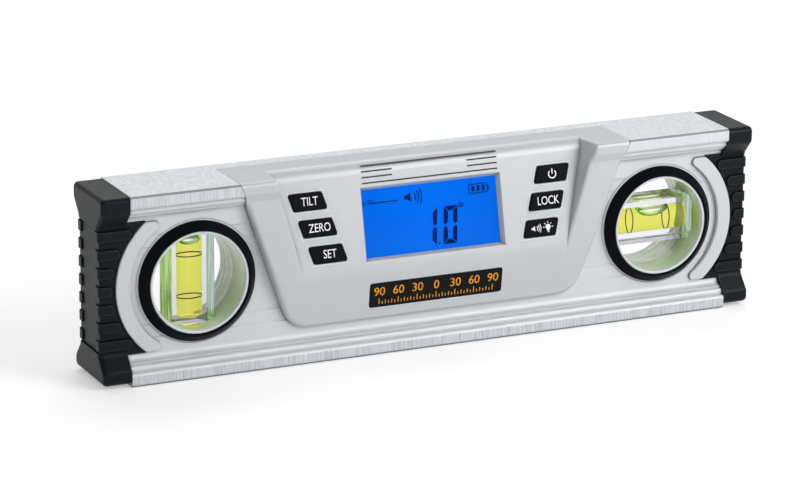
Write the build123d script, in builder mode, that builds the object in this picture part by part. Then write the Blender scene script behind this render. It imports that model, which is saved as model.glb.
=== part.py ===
# Digital spirit level: an extruded aluminium bar with two block vials and an electronics module.
# Millimetres. +X runs along the bar, +Y to the rear, +Z up; the origin is under the middle of the sole.
from build123d import *
import os
from math import asin, cos, degrees, radians, sin, sqrt, tan

os.makedirs("parts", exist_ok=True)

# Bar
beam_length = 232.0
beam_depth = 29.0
beam_height = 68.0
web_recess = 6.0
web_wall = 2.4
flange_wall = 4.0
chamber_corner = 1.5
strip_height = 3.6
bead_radius = 1.5
bead_riser = 0.65
web_step = 0.3
band_low = 15.4
band_high = 20.0
edge_break = 0.8

# Clearances
seat_gap = 0.15
slide_gap = 0.2
pin_gap = 0.08

# Vial windows
window_end = 26.0
window_radius = 19.8
holder_flange = 22.1
holder_flange_wall = 0.6
holder_bore = 17.0
holder_draft = 0.3
bezel_outer = 21.6
bezel_inner = 18.5
bezel_rise = 3.5
block_width = 16.4
block_depth = 10.8
block_length = 34.0
vial_bore = 4.95
vial_plug_length = 2.2
level_bubble_half = 6.3
level_bubble_radius = 1.85
level_bubble_travel = 6.8
level_bubble_shift = 1.4
plumb_bubble_half = 1.6
plumb_bubble_radius = 3.9
plumb_bubble_dome = 4.7
plumb_bubble_travel = 22.0
bubble_gap = 0.3

# Front cover
window_margin = 14.6
cover_side_angle = 19.45
chin_drop = 18.1
cover_corner = 10.0
cover_notch_depth = 22.3
cover_wall = 2.0
cover_seat = 4.0
cover_round = 1.6
nose_radius = 1.8
nose_height = 4.0
shoulder_depth = 1.3
shoulder_drop = 7.0
console_drop = 37.6
console_angle = 12.95
console_border = 11.07
console_flare = 0.251
console_draft = 12.0
console_corner = 6.0
console_foot = 7.0
console_round = 1.2
ridge_radius = 12.0
brow_radius = 5.0
undercut_radius = 1.3
chin_radius = 8.0
chin_angle = 6.5

# Display stack, counted inwards from the console face
display_border = 15.4
display_height = 24.0
display_rise = 16.8
display_draft = 28.0
pane_wall = 1.2
pane_margin = 2.6
lcd_wall = 2.0
backlight_wall = 1.2
board_wall = 1.2
board_low = 1.5
board_high = 33.0
sensor_size = 6.0
sensor_height = 1.6
sensor_rise = 21.0
buzzer_radius = 4.5
buzzer_height = 3.0
buzzer_hole = 0.8
buzzer_x = -30.0
buzzer_rise = 20.0

# Keys
key_width = 12.7
key_height = 6.0
key_skew = 0.305
key_corner = 0.7
key_border = 9.45
key_shift = 2.98
key_rise = 8.2
key_pitch = 9.5
key_proud = 0.7
key_flange = 0.7
key_lip = 0.8
key_travel = 0.7
mat_wall = 0.8
mat_border = 4.5
mat_half = 7.2

# Plate under the display
badge_inset = 0.4
badge_height = 9.0
badge_wall = 0.8
badge_proud = 0.2
badge_corner = 0.9

# Rear cover and battery bay
rear_inset = 1.0
rear_drop = 13.5
rear_plate = 2.4
rear_corner = 6.0
bay_wall = 1.4
frame_border = 6.0
frame_proud = 1.2
hinge_reach = 1.4
bay_drop = 3.4
bay_clearance = 1.4
cell_diameter = 10.5
cell_length = 44.5
cell_gap = 0.35
cell_nub = 1.0
contact_space = 2.4
contact_wall = 0.4
contact_width = 8.4
contact_height = 8.8
contact_coil = 2.8
contact_bridge = 4.0
door_wall = 1.8
hinge_pin = 0.7
screw_radius = 1.0
screw_head = 2.0
screw_head_height = 1.3
screw_high_border = 8.5
screw_high_drop = 18.5
screw_low_border = 12.2
screw_low_rise = 6.9
screw_length = 12.0
boss_overlap = 6.0
boss_radius = 2.4

# End caps and trim
cap_length = 10.4
cap_lift = 1.2
cap_inset = 0.2
cap_waist = 5.0
cap_round = 2.2
cap_plug = 5.0
cap_arc = 30.2
cap_panel = 0.6
rib_pitch = 6.5
rib_height = 3.5
rib_proud = 0.8
trim_inner = 24.9
trim_front = 4.2
trim_reach = 14.0
trim_corner = 1.4

# Sole magnets
magnet_x = 82.0
magnet_radius = 5.0
magnet_height = 3.0

# Derived sizes
half_depth = beam_depth / 2
mid_z = beam_height / 2
bar_end = beam_length / 2
vial_x = bar_end - window_end
cover_top_half = vial_x - window_margin
rear_web = beam_depth - web_recess
plate_back = rear_web + rear_plate
ridge_height = beam_height - console_drop
cover_bottom = ridge_height - chin_drop
rear_top = beam_height - rear_drop
bay_height = ridge_height - bay_drop
screw_high_z = beam_height - screw_high_drop
screw_low_z = cover_bottom + screw_low_rise
chamber_depth = beam_depth - 2 * (web_recess + web_wall)
chamber_height = beam_height - 2 * flange_wall
cove_radius = web_recess - 2 * (web_step + bead_radius)
band_foot = strip_height + 2 * (bead_radius + bead_riser) + cove_radius
side_slope = tan(radians(cover_side_angle))
console_slope = tan(radians(console_angle))
console_half = cover_top_half - side_slope * console_drop - console_border
key_x = console_half - key_border
display_width = 2 * (key_x - display_border)
badge_width = display_width - 2 * badge_inset
screw_high_x = cover_top_half - side_slope * screw_high_drop - screw_high_border
screw_low_x = cover_top_half - side_slope * (beam_height - screw_low_z) - screw_low_border
chin_slope = tan(radians(chin_angle))
chin_low = cover_bottom - flange_wall
badge_drop = chin_drop / cos(radians(chin_angle)) / 2
draft_slope = tan(radians(console_draft))
console_top = console_drop / cos(radians(console_angle))
block_floor = beam_height - flange_wall + seat_gap
rim_inset = cover_seat + seat_gap
inner_inset = rim_inset + cover_wall
console_wall = cover_wall / cos(radians(console_angle))
core_depth = shoulder_depth + console_slope * (block_floor - ridge_height) + console_wall + 0.3
lcd_front = cover_wall + pane_wall
backlight_front = lcd_front + lcd_wall
board_front = backlight_front + backlight_wall
board_back = board_front + board_wall
key_back = cover_wall + 0.05 + key_flange
cell_pitch = cell_diameter + 0.8
bay_half_length = cell_length / 2 + contact_space
bay_half_height = (cell_pitch + cell_diameter) / 2 + cell_gap
bay_top = bay_height + bay_half_height + bay_wall
board_depth = shoulder_depth + console_slope * (bay_top - ridge_height) + board_back / cos(radians(console_angle))
bay_stack = cell_diameter + 2 * cell_gap + door_wall
bay_floor = max(board_depth + bay_clearance + bay_wall, plate_back + frame_proud - bay_stack)
cell_depth = bay_floor + cell_gap + cell_diameter / 2
door_back = cell_depth + cell_diameter / 2 + cell_gap
door_front = door_back + door_wall
screw_seat = plate_back - screw_head_height - 0.1
full_end = bar_end + cap_length
trim_outer = cap_arc - seat_gap
waist_half = mid_z - band_foot
rim_front = web_recess - holder_flange_wall - bezel_rise + 0.5
flange_front = web_recess - holder_flange_wall
liquid_half = block_length / 2 - vial_plug_length
dome_angle = degrees(asin(plumb_bubble_radius / plumb_bubble_dome))
open_half = bay_half_length + 1.2
open_low = bay_height - bay_half_height - 1.1
open_high = bay_height + bay_half_height + 1.0
hinge_z = open_low + 0.3 + door_wall / 2
hinge_y = door_front - door_wall / 2 - half_depth

# Planes: sketches on them read as seen from the front
section_plane = Plane(origin=(0, 0, mid_z), x_dir=(0, 1, 0), z_dir=(1, 0, 0))
console_normal = (0, -cos(radians(console_angle)), sin(radians(console_angle)))
chin_normal = (0, -cos(radians(chin_angle)), -sin(radians(chin_angle)))
ridge_point = (0, shoulder_depth - half_depth, ridge_height)
console_plane = Plane(origin=ridge_point, x_dir=(1, 0, 0), z_dir=console_normal)
chin_plane = Plane(origin=ridge_point, x_dir=(1, 0, 0), z_dir=chin_normal)

screw_points = [
    (-screw_high_x, screw_high_z),
    (screw_high_x, screw_high_z),
    (-screw_low_x, screw_low_z),
    (screw_low_x, screw_low_z),
]


def at_depth(depth):
    """Upright plane at a depth behind the front of the flanges; extrusions run forwards."""
    return Plane.XZ.offset(half_depth - depth)


def half_width(z):
    """Half width of the front cover's outline at a height."""
    return cover_top_half - side_slope * (beam_height - z)


def cover_outline(grow, z_top, top_corner=0.0, mode=Mode.ADD):
    """Face of the front cover's trapezoid outline, grown or shrunk evenly, up to a height."""
    shift = grow / cos(radians(cover_side_angle))
    low = cover_bottom - grow
    wide = half_width(z_top) + shift
    narrow = half_width(low) + shift
    corner = cover_corner + grow
    with BuildLine() as edge:
        FilletPolyline(
            (-wide, z_top),
            (-narrow, low),
            (narrow, low),
            (wide, z_top),
            radius=[top_corner, corner, corner, top_corner],
            close=True,
        )
    make_face(edge.edges(), mode=mode)


def console_cut(point, normal):
    """Plane from a point and a normal that are given in the console's own directions."""
    origin = console_plane.from_local_coords(Vector(*point))
    tip = console_plane.from_local_coords(Vector(*point) + Vector(*normal))
    return Plane(origin=origin, z_dir=tip - origin)


def console_block(grow, back):
    """Adds a drafted block over the console, from a depth behind its face outwards, grown sideways."""
    with BuildSketch(console_plane.offset(-back)) as blank:
        Rectangle(4 * console_half, 4 * console_top)
    extrude(blank.sketch, amount=2 * back + console_drop)
    for side in (-1, 1):
        flank = console_cut((side * (console_half + grow), 0, 0), (side, -console_flare, -draft_slope))
        split(bisect_by=flank, keep=Keep.BOTTOM)
    foot = console_cut((0, -console_foot - grow, 0), (0, -1, -draft_slope))
    split(bisect_by=foot, keep=Keep.BOTTOM)


def board_outline(grow, low, high):
    """Face of the console's trapezoid between two heights, drawn on the sloping console plane."""
    with BuildLine() as edge:
        FilletPolyline(
            (-console_half - console_flare * high - grow, high),
            (-console_half - console_flare * low - grow, low),
            (console_half + console_flare * low + grow, low),
            (console_half + console_flare * high + grow, high),
            radius=[0, console_corner, console_corner, 0],
            close=True,
        )
    make_face(edge.edges())


def key_outline(side, row, grow):
    """Leaning key shape on the console plane; side is -1 or 1, row counts up from the bottom."""
    x = side * (key_x + key_shift * row)
    v = key_rise + key_pitch * row
    half_w = key_width / 2 + grow
    half_h = key_height / 2 + grow
    lean = side * key_skew * half_h
    with BuildLine() as edge:
        FilletPolyline(
            (x - half_w - lean, v - half_h),
            (x + half_w - lean, v - half_h),
            (x + half_w + lean, v + half_h),
            (x - half_w + lean, v + half_h),
            radius=key_corner + grow,
            close=True,
        )
    make_face(edge.edges())


def crescent(side, grow):
    """Adds the outline of the crescent trim beside a window to the sketch, grown evenly."""
    with Locations((side * vial_x, mid_z)):
        Circle(trim_outer + grow)
        Circle(trim_inner - grow, mode=Mode.SUBTRACT)
    with Locations((side * (vial_x + trim_reach - grow + beam_height / 2), mid_z)):
        Rectangle(beam_height, 2 * (waist_half - 0.6 + grow), mode=Mode.INTERSECT)


def profile_point(depth, z):
    """Point of a side profile from its depth behind the flange front and its height."""
    return (depth - half_depth, z)


def section_point(depth, z):
    """The same for the bar's section, drawn about the middle of the bar."""
    return (depth - half_depth, z - mid_z)


# Aluminium bar: one quarter of the moulded section, mirrored twice, round a hollow chamber
with BuildPart() as beam:
    with BuildSketch(section_plane):
        with BuildLine():
            sole = Polyline(
                section_point(half_depth, mid_z),
                section_point(half_depth, 0),
                section_point(edge_break, 0),
                section_point(0, edge_break),
                section_point(0, strip_height),
            )
            bead_1 = JernArc(sole @ 1, (0, 1), bead_radius, -90)
            riser_1 = Line(bead_1 @ 1, (bead_1 @ 1) + Vector(0, bead_riser))
            bead_2 = JernArc(riser_1 @ 1, (0, 1), bead_radius, -90)
            riser_2 = Line(bead_2 @ 1, (bead_2 @ 1) + Vector(0, bead_riser))
            cove = JernArc(riser_2 @ 1, (1, 0), cove_radius, 90)
            Polyline(
                cove @ 1,
                section_point(web_recess - 2 * web_step, band_low),
                section_point(web_recess - web_step, band_low + web_step),
                section_point(web_recess - web_step, band_high),
                section_point(web_recess, band_high + web_step),
                section_point(web_recess, mid_z),
                section_point(half_depth, mid_z),
            )
        make_face()
        mirror(about=Plane.XZ)
        mirror(about=Plane.YZ)
        RectangleRounded(chamber_depth, chamber_height, chamber_corner, mode=Mode.SUBTRACT)
    extrude(amount=bar_end, both=True)
    # Vial windows through both webs, with a milled seat round each
    with BuildSketch(Plane.XZ):
        with Locations((-vial_x, mid_z), (vial_x, mid_z)):
            Circle(window_radius)
    extrude(amount=half_depth, both=True, mode=Mode.SUBTRACT)
    with BuildSketch(at_depth(web_recess)):
        with Locations((-vial_x, mid_z), (vial_x, mid_z)):
            Circle(holder_flange + slide_gap)
    extrude(amount=web_recess, mode=Mode.SUBTRACT)
    with BuildSketch(at_depth(rear_web)):
        with Locations((-vial_x, mid_z), (vial_x, mid_z)):
            Circle(holder_flange + slide_gap)
    extrude(amount=-web_recess, mode=Mode.SUBTRACT)
    # Flat lands for the cap ears and the crescent trim
    for depth, way in ((web_recess, 1), (rear_web, -1)):
        with BuildSketch(at_depth(depth)):
            with Locations((-bar_end, mid_z), (bar_end, mid_z)):
                Rectangle(2 * (bar_end - vial_x), 2 * waist_half)
            with Locations((-vial_x, mid_z), (vial_x, mid_z)):
                Circle(cap_arc, mode=Mode.SUBTRACT)
        extrude(amount=way * web_recess, mode=Mode.SUBTRACT)
        for side in (-1, 1):
            with BuildSketch(at_depth(depth)) as pocket:
                crescent(side, slide_gap)
                fillet(pocket.vertices(), trim_corner + slide_gap)
            extrude(amount=way * web_recess, mode=Mode.SUBTRACT)
    # Seat, opening and flange notch for the front cover
    with BuildSketch(at_depth(web_recess)):
        cover_outline(seat_gap, beam_height + 1)
    extrude(amount=web_recess, mode=Mode.SUBTRACT)
    with BuildSketch(at_depth(web_recess)):
        cover_outline(-cover_seat, beam_height + 1)
    extrude(amount=-web_wall - chamber_corner, mode=Mode.SUBTRACT)
    with BuildSketch(at_depth(cover_notch_depth + seat_gap)):
        cover_outline(seat_gap, beam_height + 1)
        with Locations((0, beam_height)):
            Rectangle(2 * beam_height + beam_length, 2 * flange_wall, mode=Mode.INTERSECT)
    extrude(amount=cover_notch_depth + seat_gap, mode=Mode.SUBTRACT)
    # Seat of the rear cover, opening for the battery bay, screw holes
    with BuildSketch(at_depth(rear_web)):
        cover_outline(seat_gap - rear_inset, rear_top + seat_gap, rear_corner)
    extrude(amount=-web_recess, mode=Mode.SUBTRACT)
    with BuildSketch(at_depth(rear_web)):
        with Locations((0, bay_height)):
            Rectangle(
                2 * (bay_half_length + bay_wall + slide_gap),
                2 * (bay_half_height + bay_wall + slide_gap),
            )
        with Locations(*screw_points):
            Circle(screw_radius + 0.3)
    extrude(amount=web_wall + 1, mode=Mode.SUBTRACT)
    # Blind holes for the sole magnets
    with BuildSketch(Plane.XY):
        with Locations((-magnet_x, 0), (magnet_x, 0)):
            Circle(magnet_radius + slide_gap)
    extrude(amount=magnet_height + 0.1, mode=Mode.SUBTRACT)
beam.part.label = "aluminium_beam"
export_step(beam.part, "parts/aluminium_beam.step")

# Sole magnets
with BuildPart() as magnets:
    with BuildSketch(Plane.XY.offset(0.1)):
        with Locations((-magnet_x, 0), (magnet_x, 0)):
            Circle(magnet_radius)
    extrude(amount=magnet_height)
magnets.part.label = "base_magnets"
export_step(magnets.part, "parts/base_magnets.step")

# Opening of the console through the cover, with drafted flanks and rounded lower corners
with BuildPart() as console_opening:
    console_block(0, beam_depth)
    lower_corners = console_opening.edges().filter_by(
        lambda e: abs(e.center().X) > console_half / 2
        and e.center().Z < ridge_height
        and abs(e.tangent_at(0.5).Y) > 0.5
    )
    fillet(lower_corners, console_corner)

# Floor that fills the opening: it slopes back from the ridge, rounded into the top and into the chin
with BuildPart() as console_floor:
    console_block(2 * console_round, beam_depth)
    with BuildSketch(Plane.YZ):
        with BuildLine():
            FilletPolyline(
                profile_point(core_depth, chin_low),
                profile_point(shoulder_depth + chin_slope * (ridge_height - chin_low), chin_low),
                profile_point(shoulder_depth, ridge_height),
                profile_point(shoulder_depth + console_slope * console_drop, beam_height),
                profile_point(cover_notch_depth, beam_height),
                profile_point(cover_notch_depth, block_floor),
                profile_point(core_depth, block_floor),
                radius=[0, 0, ridge_radius, brow_radius, 0, 0, 0],
                close=True,
            )
        make_face()
    extrude(amount=2 * cover_top_half, both=True, mode=Mode.INTERSECT)

# What the wall in front of the hollow takes up: the console grown inwards by the wall
with BuildPart() as console_shell:
    console_block(cover_wall, beam_depth)
    with BuildSketch(Plane.YZ):
        with BuildLine():
            Polyline(
                profile_point(-beam_depth, chin_low),
                profile_point(shoulder_depth + console_wall + chin_slope * (ridge_height - chin_low), chin_low),
                profile_point(shoulder_depth + console_wall, ridge_height),
                profile_point(shoulder_depth + console_wall + console_slope * console_drop, beam_height),
                profile_point(2 * beam_depth, beam_height),
                profile_point(2 * beam_depth, 2 * beam_height),
                profile_point(-beam_depth, 2 * beam_height),
                close=True,
            )
        make_face()
    extrude(amount=2 * cover_top_half, both=True, mode=Mode.INTERSECT)

# Hollow of the front cover, open to the rear
with BuildPart() as hollow:
    with BuildSketch(Plane.YZ):
        with BuildLine():
            Polyline(
                profile_point(cover_notch_depth - cover_wall, beam_height - cover_wall),
                profile_point(cover_wall, beam_height - cover_wall),
                profile_point(cover_wall, beam_height - nose_height),
                profile_point(shoulder_depth + console_wall, beam_height - shoulder_drop),
                profile_point(shoulder_depth + console_wall, ridge_height),
                profile_point(shoulder_depth + console_wall + chin_slope * (ridge_height - chin_low), chin_low),
                profile_point(beam_depth, chin_low),
                profile_point(beam_depth, block_floor),
                profile_point(cover_notch_depth - cover_wall, block_floor),
                close=True,
            )
        make_face()
    extrude(amount=2 * cover_top_half, both=True)
    with BuildSketch(at_depth(0)):
        cover_outline(-inner_inset, beam_height)
    extrude(amount=-beam_depth, mode=Mode.INTERSECT)
    add(console_shell.part, mode=Mode.SUBTRACT)

# Front cover: nose, undercut and shoulders as one profile, trimmed to the trapezoid outline
with BuildPart() as front_cover:
    with BuildSketch(Plane.YZ):
        with BuildLine():
            FilletPolyline(
                profile_point(cover_notch_depth, beam_height),
                profile_point(0, beam_height),
                profile_point(0, beam_height - nose_height),
                profile_point(shoulder_depth, beam_height - shoulder_drop),
                profile_point(shoulder_depth, ridge_height),
                profile_point(shoulder_depth + chin_slope * (ridge_height - chin_low), chin_low),
                profile_point(web_recess, chin_low),
                profile_point(web_recess, block_floor),
                profile_point(cover_notch_depth, block_floor),
                radius=[0, nose_radius, undercut_radius, 0, chin_radius, 0, 0, 0, 0],
                close=True,
            )
        make_face()
    extrude(amount=2 * cover_top_half, both=True)
    with BuildSketch(at_depth(0)):
        cover_outline(0, beam_height)
    extrude(amount=-beam_depth, mode=Mode.INTERSECT)
    skirt = front_cover.edges().filter_by(
        lambda e: e.center().Y < web_recess - half_depth - 1
        and e.center().Z < beam_height - shoulder_drop
        and abs(e.center().X) > half_width(e.center().Z) - 6
        or e.center().Z < cover_bottom + 1 and e.center().Y < web_recess - half_depth - 1
    )
    fillet(skirt, cover_round)
    # Tub that drops into the bar's opening and carries the console floor
    with BuildSketch(at_depth(web_recess)):
        cover_outline(-rim_inset, block_floor)
    extrude(amount=web_recess - core_depth)
    # Console: the opening is cut, its rim rounded, and the floor put in behind the rim
    add(console_opening.part, mode=Mode.SUBTRACT)
    rim = front_cover.edges(Select.LAST).filter_by(
        lambda e: console_plane.to_local_coords(e.center()).Z > -console_round - console_foot / 2
        and e.center().Y < cover_notch_depth / 2 - half_depth
        and abs(e.tangent_at(0.5).Y) < 0.9
        and e.center().Z < beam_height - 0.01
    )
    fillet(rim, console_round)
    add(console_floor.part)
    add(hollow.part, mode=Mode.SUBTRACT)
    # Screw bosses
    for x, z in screw_points:
        face_depth = shoulder_depth + chin_slope * max(ridge_height - z, 0) + cover_wall / 2
        with BuildSketch(at_depth(face_depth)):
            with Locations((x, z)):
                Circle(boss_radius)
        extrude(amount=face_depth - screw_seat + boss_overlap)
    with BuildSketch(at_depth(screw_seat)):
        with Locations(*screw_points):
            Circle(screw_radius + 0.05)
    extrude(amount=screw_length + seat_gap, mode=Mode.SUBTRACT)
    # Display opening with drafted walls
    with BuildSketch(console_plane.offset(-cover_wall)):
        with Locations((0, display_rise)):
            Rectangle(display_width, display_height)
    extrude(amount=cover_wall + 1, taper=-display_draft, mode=Mode.SUBTRACT)
    # Key openings
    for side in (-1, 1):
        for row in range(3):
            with BuildSketch(console_plane):
                key_outline(side, row, slide_gap)
            extrude(amount=cover_wall + 1, both=True, mode=Mode.SUBTRACT)
    # Shallow seat of the plate under the display
    with BuildSketch(chin_plane):
        with Locations((0, -badge_drop)):
            RectangleRounded(badge_width + 2 * seat_gap, badge_height + 2 * seat_gap, badge_corner)
    extrude(amount=badge_proud - badge_wall, mode=Mode.SUBTRACT)
front_cover.part.label = "front_cover"
export_step(front_cover.part, "parts/front_cover.step")

# Display pane behind the opening, then the panel and its backlight, each flat against the next
with BuildPart() as display_window:
    with BuildSketch(console_plane.offset(-cover_wall)):
        with Locations((0, display_rise)):
            RectangleRounded(display_width + 2 * pane_margin, display_height + 2 * pane_margin, 1)
    extrude(amount=-pane_wall)
display_window.part.label = "display_window"
export_step(display_window.part, "parts/display_window.step")

with BuildPart() as lcd_panel:
    with BuildSketch(console_plane.offset(-lcd_front)):
        with Locations((0, display_rise)):
            Rectangle(display_width + pane_margin, display_height + pane_margin)
    extrude(amount=-lcd_wall)
lcd_panel.part.label = "lcd_panel"
export_step(lcd_panel.part, "parts/lcd_panel.step")

with BuildPart() as backlight:
    with BuildSketch(console_plane.offset(-backlight_front)):
        with Locations((0, display_rise)):
            Rectangle(display_width + pane_margin, display_height + pane_margin)
    extrude(amount=-backlight_wall)
backlight.part.label = "backlight_panel"
export_step(backlight.part, "parts/backlight_panel.step")

# Circuit board, parallel to the console, with the tilt sensor and the buzzer on its rear
with BuildPart() as board:
    with BuildSketch(console_plane.offset(-board_front)):
        board_outline(-slide_gap - seat_gap, board_low, board_high)
    extrude(amount=-board_wall)
board.part.label = "circuit_board"
export_step(board.part, "parts/circuit_board.step")

with BuildPart() as sensor:
    with BuildSketch(console_plane.offset(-board_back)):
        with Locations((0, sensor_rise)):
            Rectangle(sensor_size, sensor_size)
    extrude(amount=-sensor_height)
sensor.part.label = "tilt_sensor"
export_step(sensor.part, "parts/tilt_sensor.step")

with BuildPart() as buzzer:
    with BuildSketch(console_plane.offset(-board_back)):
        with Locations((buzzer_x, buzzer_rise)):
            Circle(buzzer_radius)
    extrude(amount=-buzzer_height)
    with BuildSketch(console_plane.offset(-board_back - buzzer_height)):
        with Locations((buzzer_x, buzzer_rise)):
            Circle(buzzer_hole)
    extrude(amount=buzzer_height / 2, mode=Mode.SUBTRACT)
buzzer.part.label = "buzzer"
export_step(buzzer.part, "parts/buzzer.step")

# Rubber mats on the board, one a side, with a post under each key
with BuildPart() as mats:
    for side in (-1, 1):
        low = key_rise - mat_border
        high = key_rise + 2 * key_pitch + mat_border
        low_x = key_x - mat_border * key_shift / key_pitch
        high_x = key_x + (2 * key_pitch + mat_border) * key_shift / key_pitch
        with BuildSketch(console_plane.offset(-board_front)):
            with BuildLine():
                Polyline(
                    (side * (low_x - mat_half), low),
                    (side * (low_x + mat_half), low),
                    (side * (high_x + mat_half), high),
                    (side * (high_x - mat_half), high),
                    close=True,
                )
            make_face()
        extrude(amount=mat_wall)
        for row in range(3):
            with BuildSketch(console_plane.offset(-board_front)):
                key_outline(side, row, -0.6)
            extrude(amount=board_front - key_back - key_travel - slide_gap)
mats.part.label = "key_mats"
export_step(mats.part, "parts/key_mats.step")

# Keys: leaning blocks that stand a little proud, each with a lip behind the cover's wall
for side, side_name in ((-1, "left"), (1, "right")):
    for row, row_name in enumerate(("bottom", "middle", "top")):
        with BuildPart() as key:
            with BuildSketch(console_plane.offset(-key_back)):
                key_outline(side, row, key_lip)
            extrude(amount=key_flange)
            with BuildSketch(console_plane.offset(-key_back)):
                key_outline(side, row, 0)
            extrude(amount=key_back + key_proud)
            fillet(key.faces().sort_by(Axis((0, 0, 0), console_normal))[-1].edges(), 0.35)
        key.part.label = "key_" + side_name + "_" + row_name
        export_step(key.part, "parts/key_" + side_name + "_" + row_name + ".step")

# Plate under the display
with BuildPart() as badge:
    with BuildSketch(chin_plane.offset(badge_proud - badge_wall)):
        with Locations((0, -badge_drop)):
            RectangleRounded(badge_width, badge_height, badge_corner)
    extrude(amount=badge_wall)
badge.part.label = "badge_plate"
export_step(badge.part, "parts/badge_plate.step")

# Rear cover: a plate on the rear web with a raised frame and the battery bay behind it
with BuildPart() as rear_cover:
    with BuildSketch(at_depth(rear_web)):
        cover_outline(-rear_inset, rear_top, rear_corner)
    extrude(amount=-rear_plate)
    fillet(rear_cover.faces().sort_by(Axis.Y)[-1].edges(), 1.0)
    with BuildSketch(at_depth(rear_web)):
        frame_low = cover_bottom + rear_inset
        frame_high = open_high + frame_border / 2
        with Locations((0, (frame_low + frame_high) / 2)):
            RectangleRounded(2 * (bay_half_length + frame_border), frame_high - frame_low, 2.5)
    extrude(amount=rear_web - door_front)
    fillet(rear_cover.faces().sort_by(Axis.Y)[-1].edges(), 0.6)
    with BuildSketch(at_depth(rear_web)):
        with Locations((0, bay_height)):
            Rectangle(2 * (bay_half_length + bay_wall), 2 * (bay_half_height + bay_wall))
    extrude(amount=rear_web - bay_floor + bay_wall)
    with BuildSketch(at_depth(bay_floor)):
        with Locations((0, bay_height)):
            Rectangle(2 * bay_half_length, 2 * bay_half_height)
    extrude(amount=-beam_depth, mode=Mode.SUBTRACT)
    with BuildSketch(at_depth(door_back - 0.1)):
        with Locations((0, (open_low + open_high) / 2)):
            Rectangle(2 * open_half, open_high - open_low)
    extrude(amount=-beam_depth, mode=Mode.SUBTRACT)
    # Sockets of the door's hinge pins
    with BuildSketch(Plane.YZ.offset(-open_half - hinge_reach)):
        with Locations((hinge_y, hinge_z)):
            Circle(hinge_pin + pin_gap)
    extrude(amount=2 * (open_half + hinge_reach), mode=Mode.SUBTRACT)
    # Screw holes with flat seats for the heads
    with BuildSketch(at_depth(screw_seat)):
        with Locations(*screw_points):
            Circle(screw_head + slide_gap)
    extrude(amount=-beam_depth, mode=Mode.SUBTRACT)
    with BuildSketch(at_depth(screw_seat)):
        with Locations(*screw_points):
            Circle(screw_radius + slide_gap)
    extrude(amount=rear_plate, mode=Mode.SUBTRACT)
rear_cover.part.label = "rear_cover"
export_step(rear_cover.part, "parts/rear_cover.step")

# Battery door: a plate with a rounded hinge edge, two pins and a grip
with BuildPart() as door:
    door_half = open_half - slide_gap
    door_high = open_high - slide_gap
    with BuildSketch(at_depth(door_back)):
        with Locations((0, (hinge_z + door_high) / 2)):
            Rectangle(2 * door_half, door_high - hinge_z)
    extrude(amount=-door_wall)
    with BuildSketch(Plane.YZ.offset(-door_half)):
        with Locations((hinge_y, hinge_z)):
            Circle(door_wall / 2)
    extrude(amount=2 * door_half)
    with BuildSketch(Plane.YZ.offset(-door_half - hinge_reach)):
        with Locations((hinge_y, hinge_z)):
            Circle(hinge_pin)
    extrude(amount=2 * (door_half + hinge_reach))
    with BuildSketch(at_depth(door_front)):
        with Locations((0, door_high - 4.5)):
            with GridLocations(0, 1.8, 1, 3):
                SlotOverall(16, 0.9)
    extrude(amount=0.5, mode=Mode.SUBTRACT)
door.part.label = "battery_door"
export_step(door.part, "parts/battery_door.step")

# Two cells side by side, turned end for end, and the sprung contacts at both ends of the bay
with BuildPart() as cells:
    for way in (-1, 1):
        with BuildSketch(Plane.YZ.offset(-way * cell_length / 2)):
            with Locations((cell_depth - half_depth, bay_height + way * cell_pitch / 2)):
                Circle(cell_diameter / 2)
        extrude(amount=way * (cell_length - cell_nub))
        with BuildSketch(Plane.YZ.offset(-way * cell_length / 2)):
            with Locations((cell_depth - half_depth, bay_height + way * cell_pitch / 2)):
                Circle(1.9)
        extrude(amount=way * cell_length)
cells.part.label = "battery_cells"
export_step(cells.part, "parts/battery_cells.step")

with BuildPart() as contacts:
    for way in (-1, 1):
        for row in (-1, 1):
            center = (cell_depth - half_depth, bay_height + row * cell_pitch / 2)
            with BuildSketch(Plane.YZ.offset(way * bay_half_length)):
                with Locations(center):
                    Rectangle(contact_width, contact_height)
            extrude(amount=-way * contact_wall)
            with BuildSketch(Plane.YZ.offset(way * bay_half_length)):
                with Locations(center):
                    Circle(contact_coil)
            extrude(amount=-way * (contact_space - 0.05), taper=30)
    with BuildSketch(Plane.YZ.offset(-bay_half_length)):
        with Locations((cell_depth - half_depth, bay_height)):
            Rectangle(contact_bridge, cell_pitch)
    extrude(amount=contact_wall)
contacts.part.label = "battery_contacts"
export_step(contacts.part, "parts/battery_contacts.step")

# Four screws that clamp the bar between the two covers
with BuildPart() as screws:
    with BuildSketch(at_depth(screw_seat)):
        with Locations(*screw_points):
            Circle(screw_head)
    extrude(amount=-screw_head_height)
    with BuildSketch(at_depth(screw_seat)):
        with Locations(*screw_points):
            Circle(screw_radius)
    extrude(amount=screw_length)
screws.part.label = "housing_screws"
export_step(screws.part, "parts/housing_screws.step")

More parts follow.
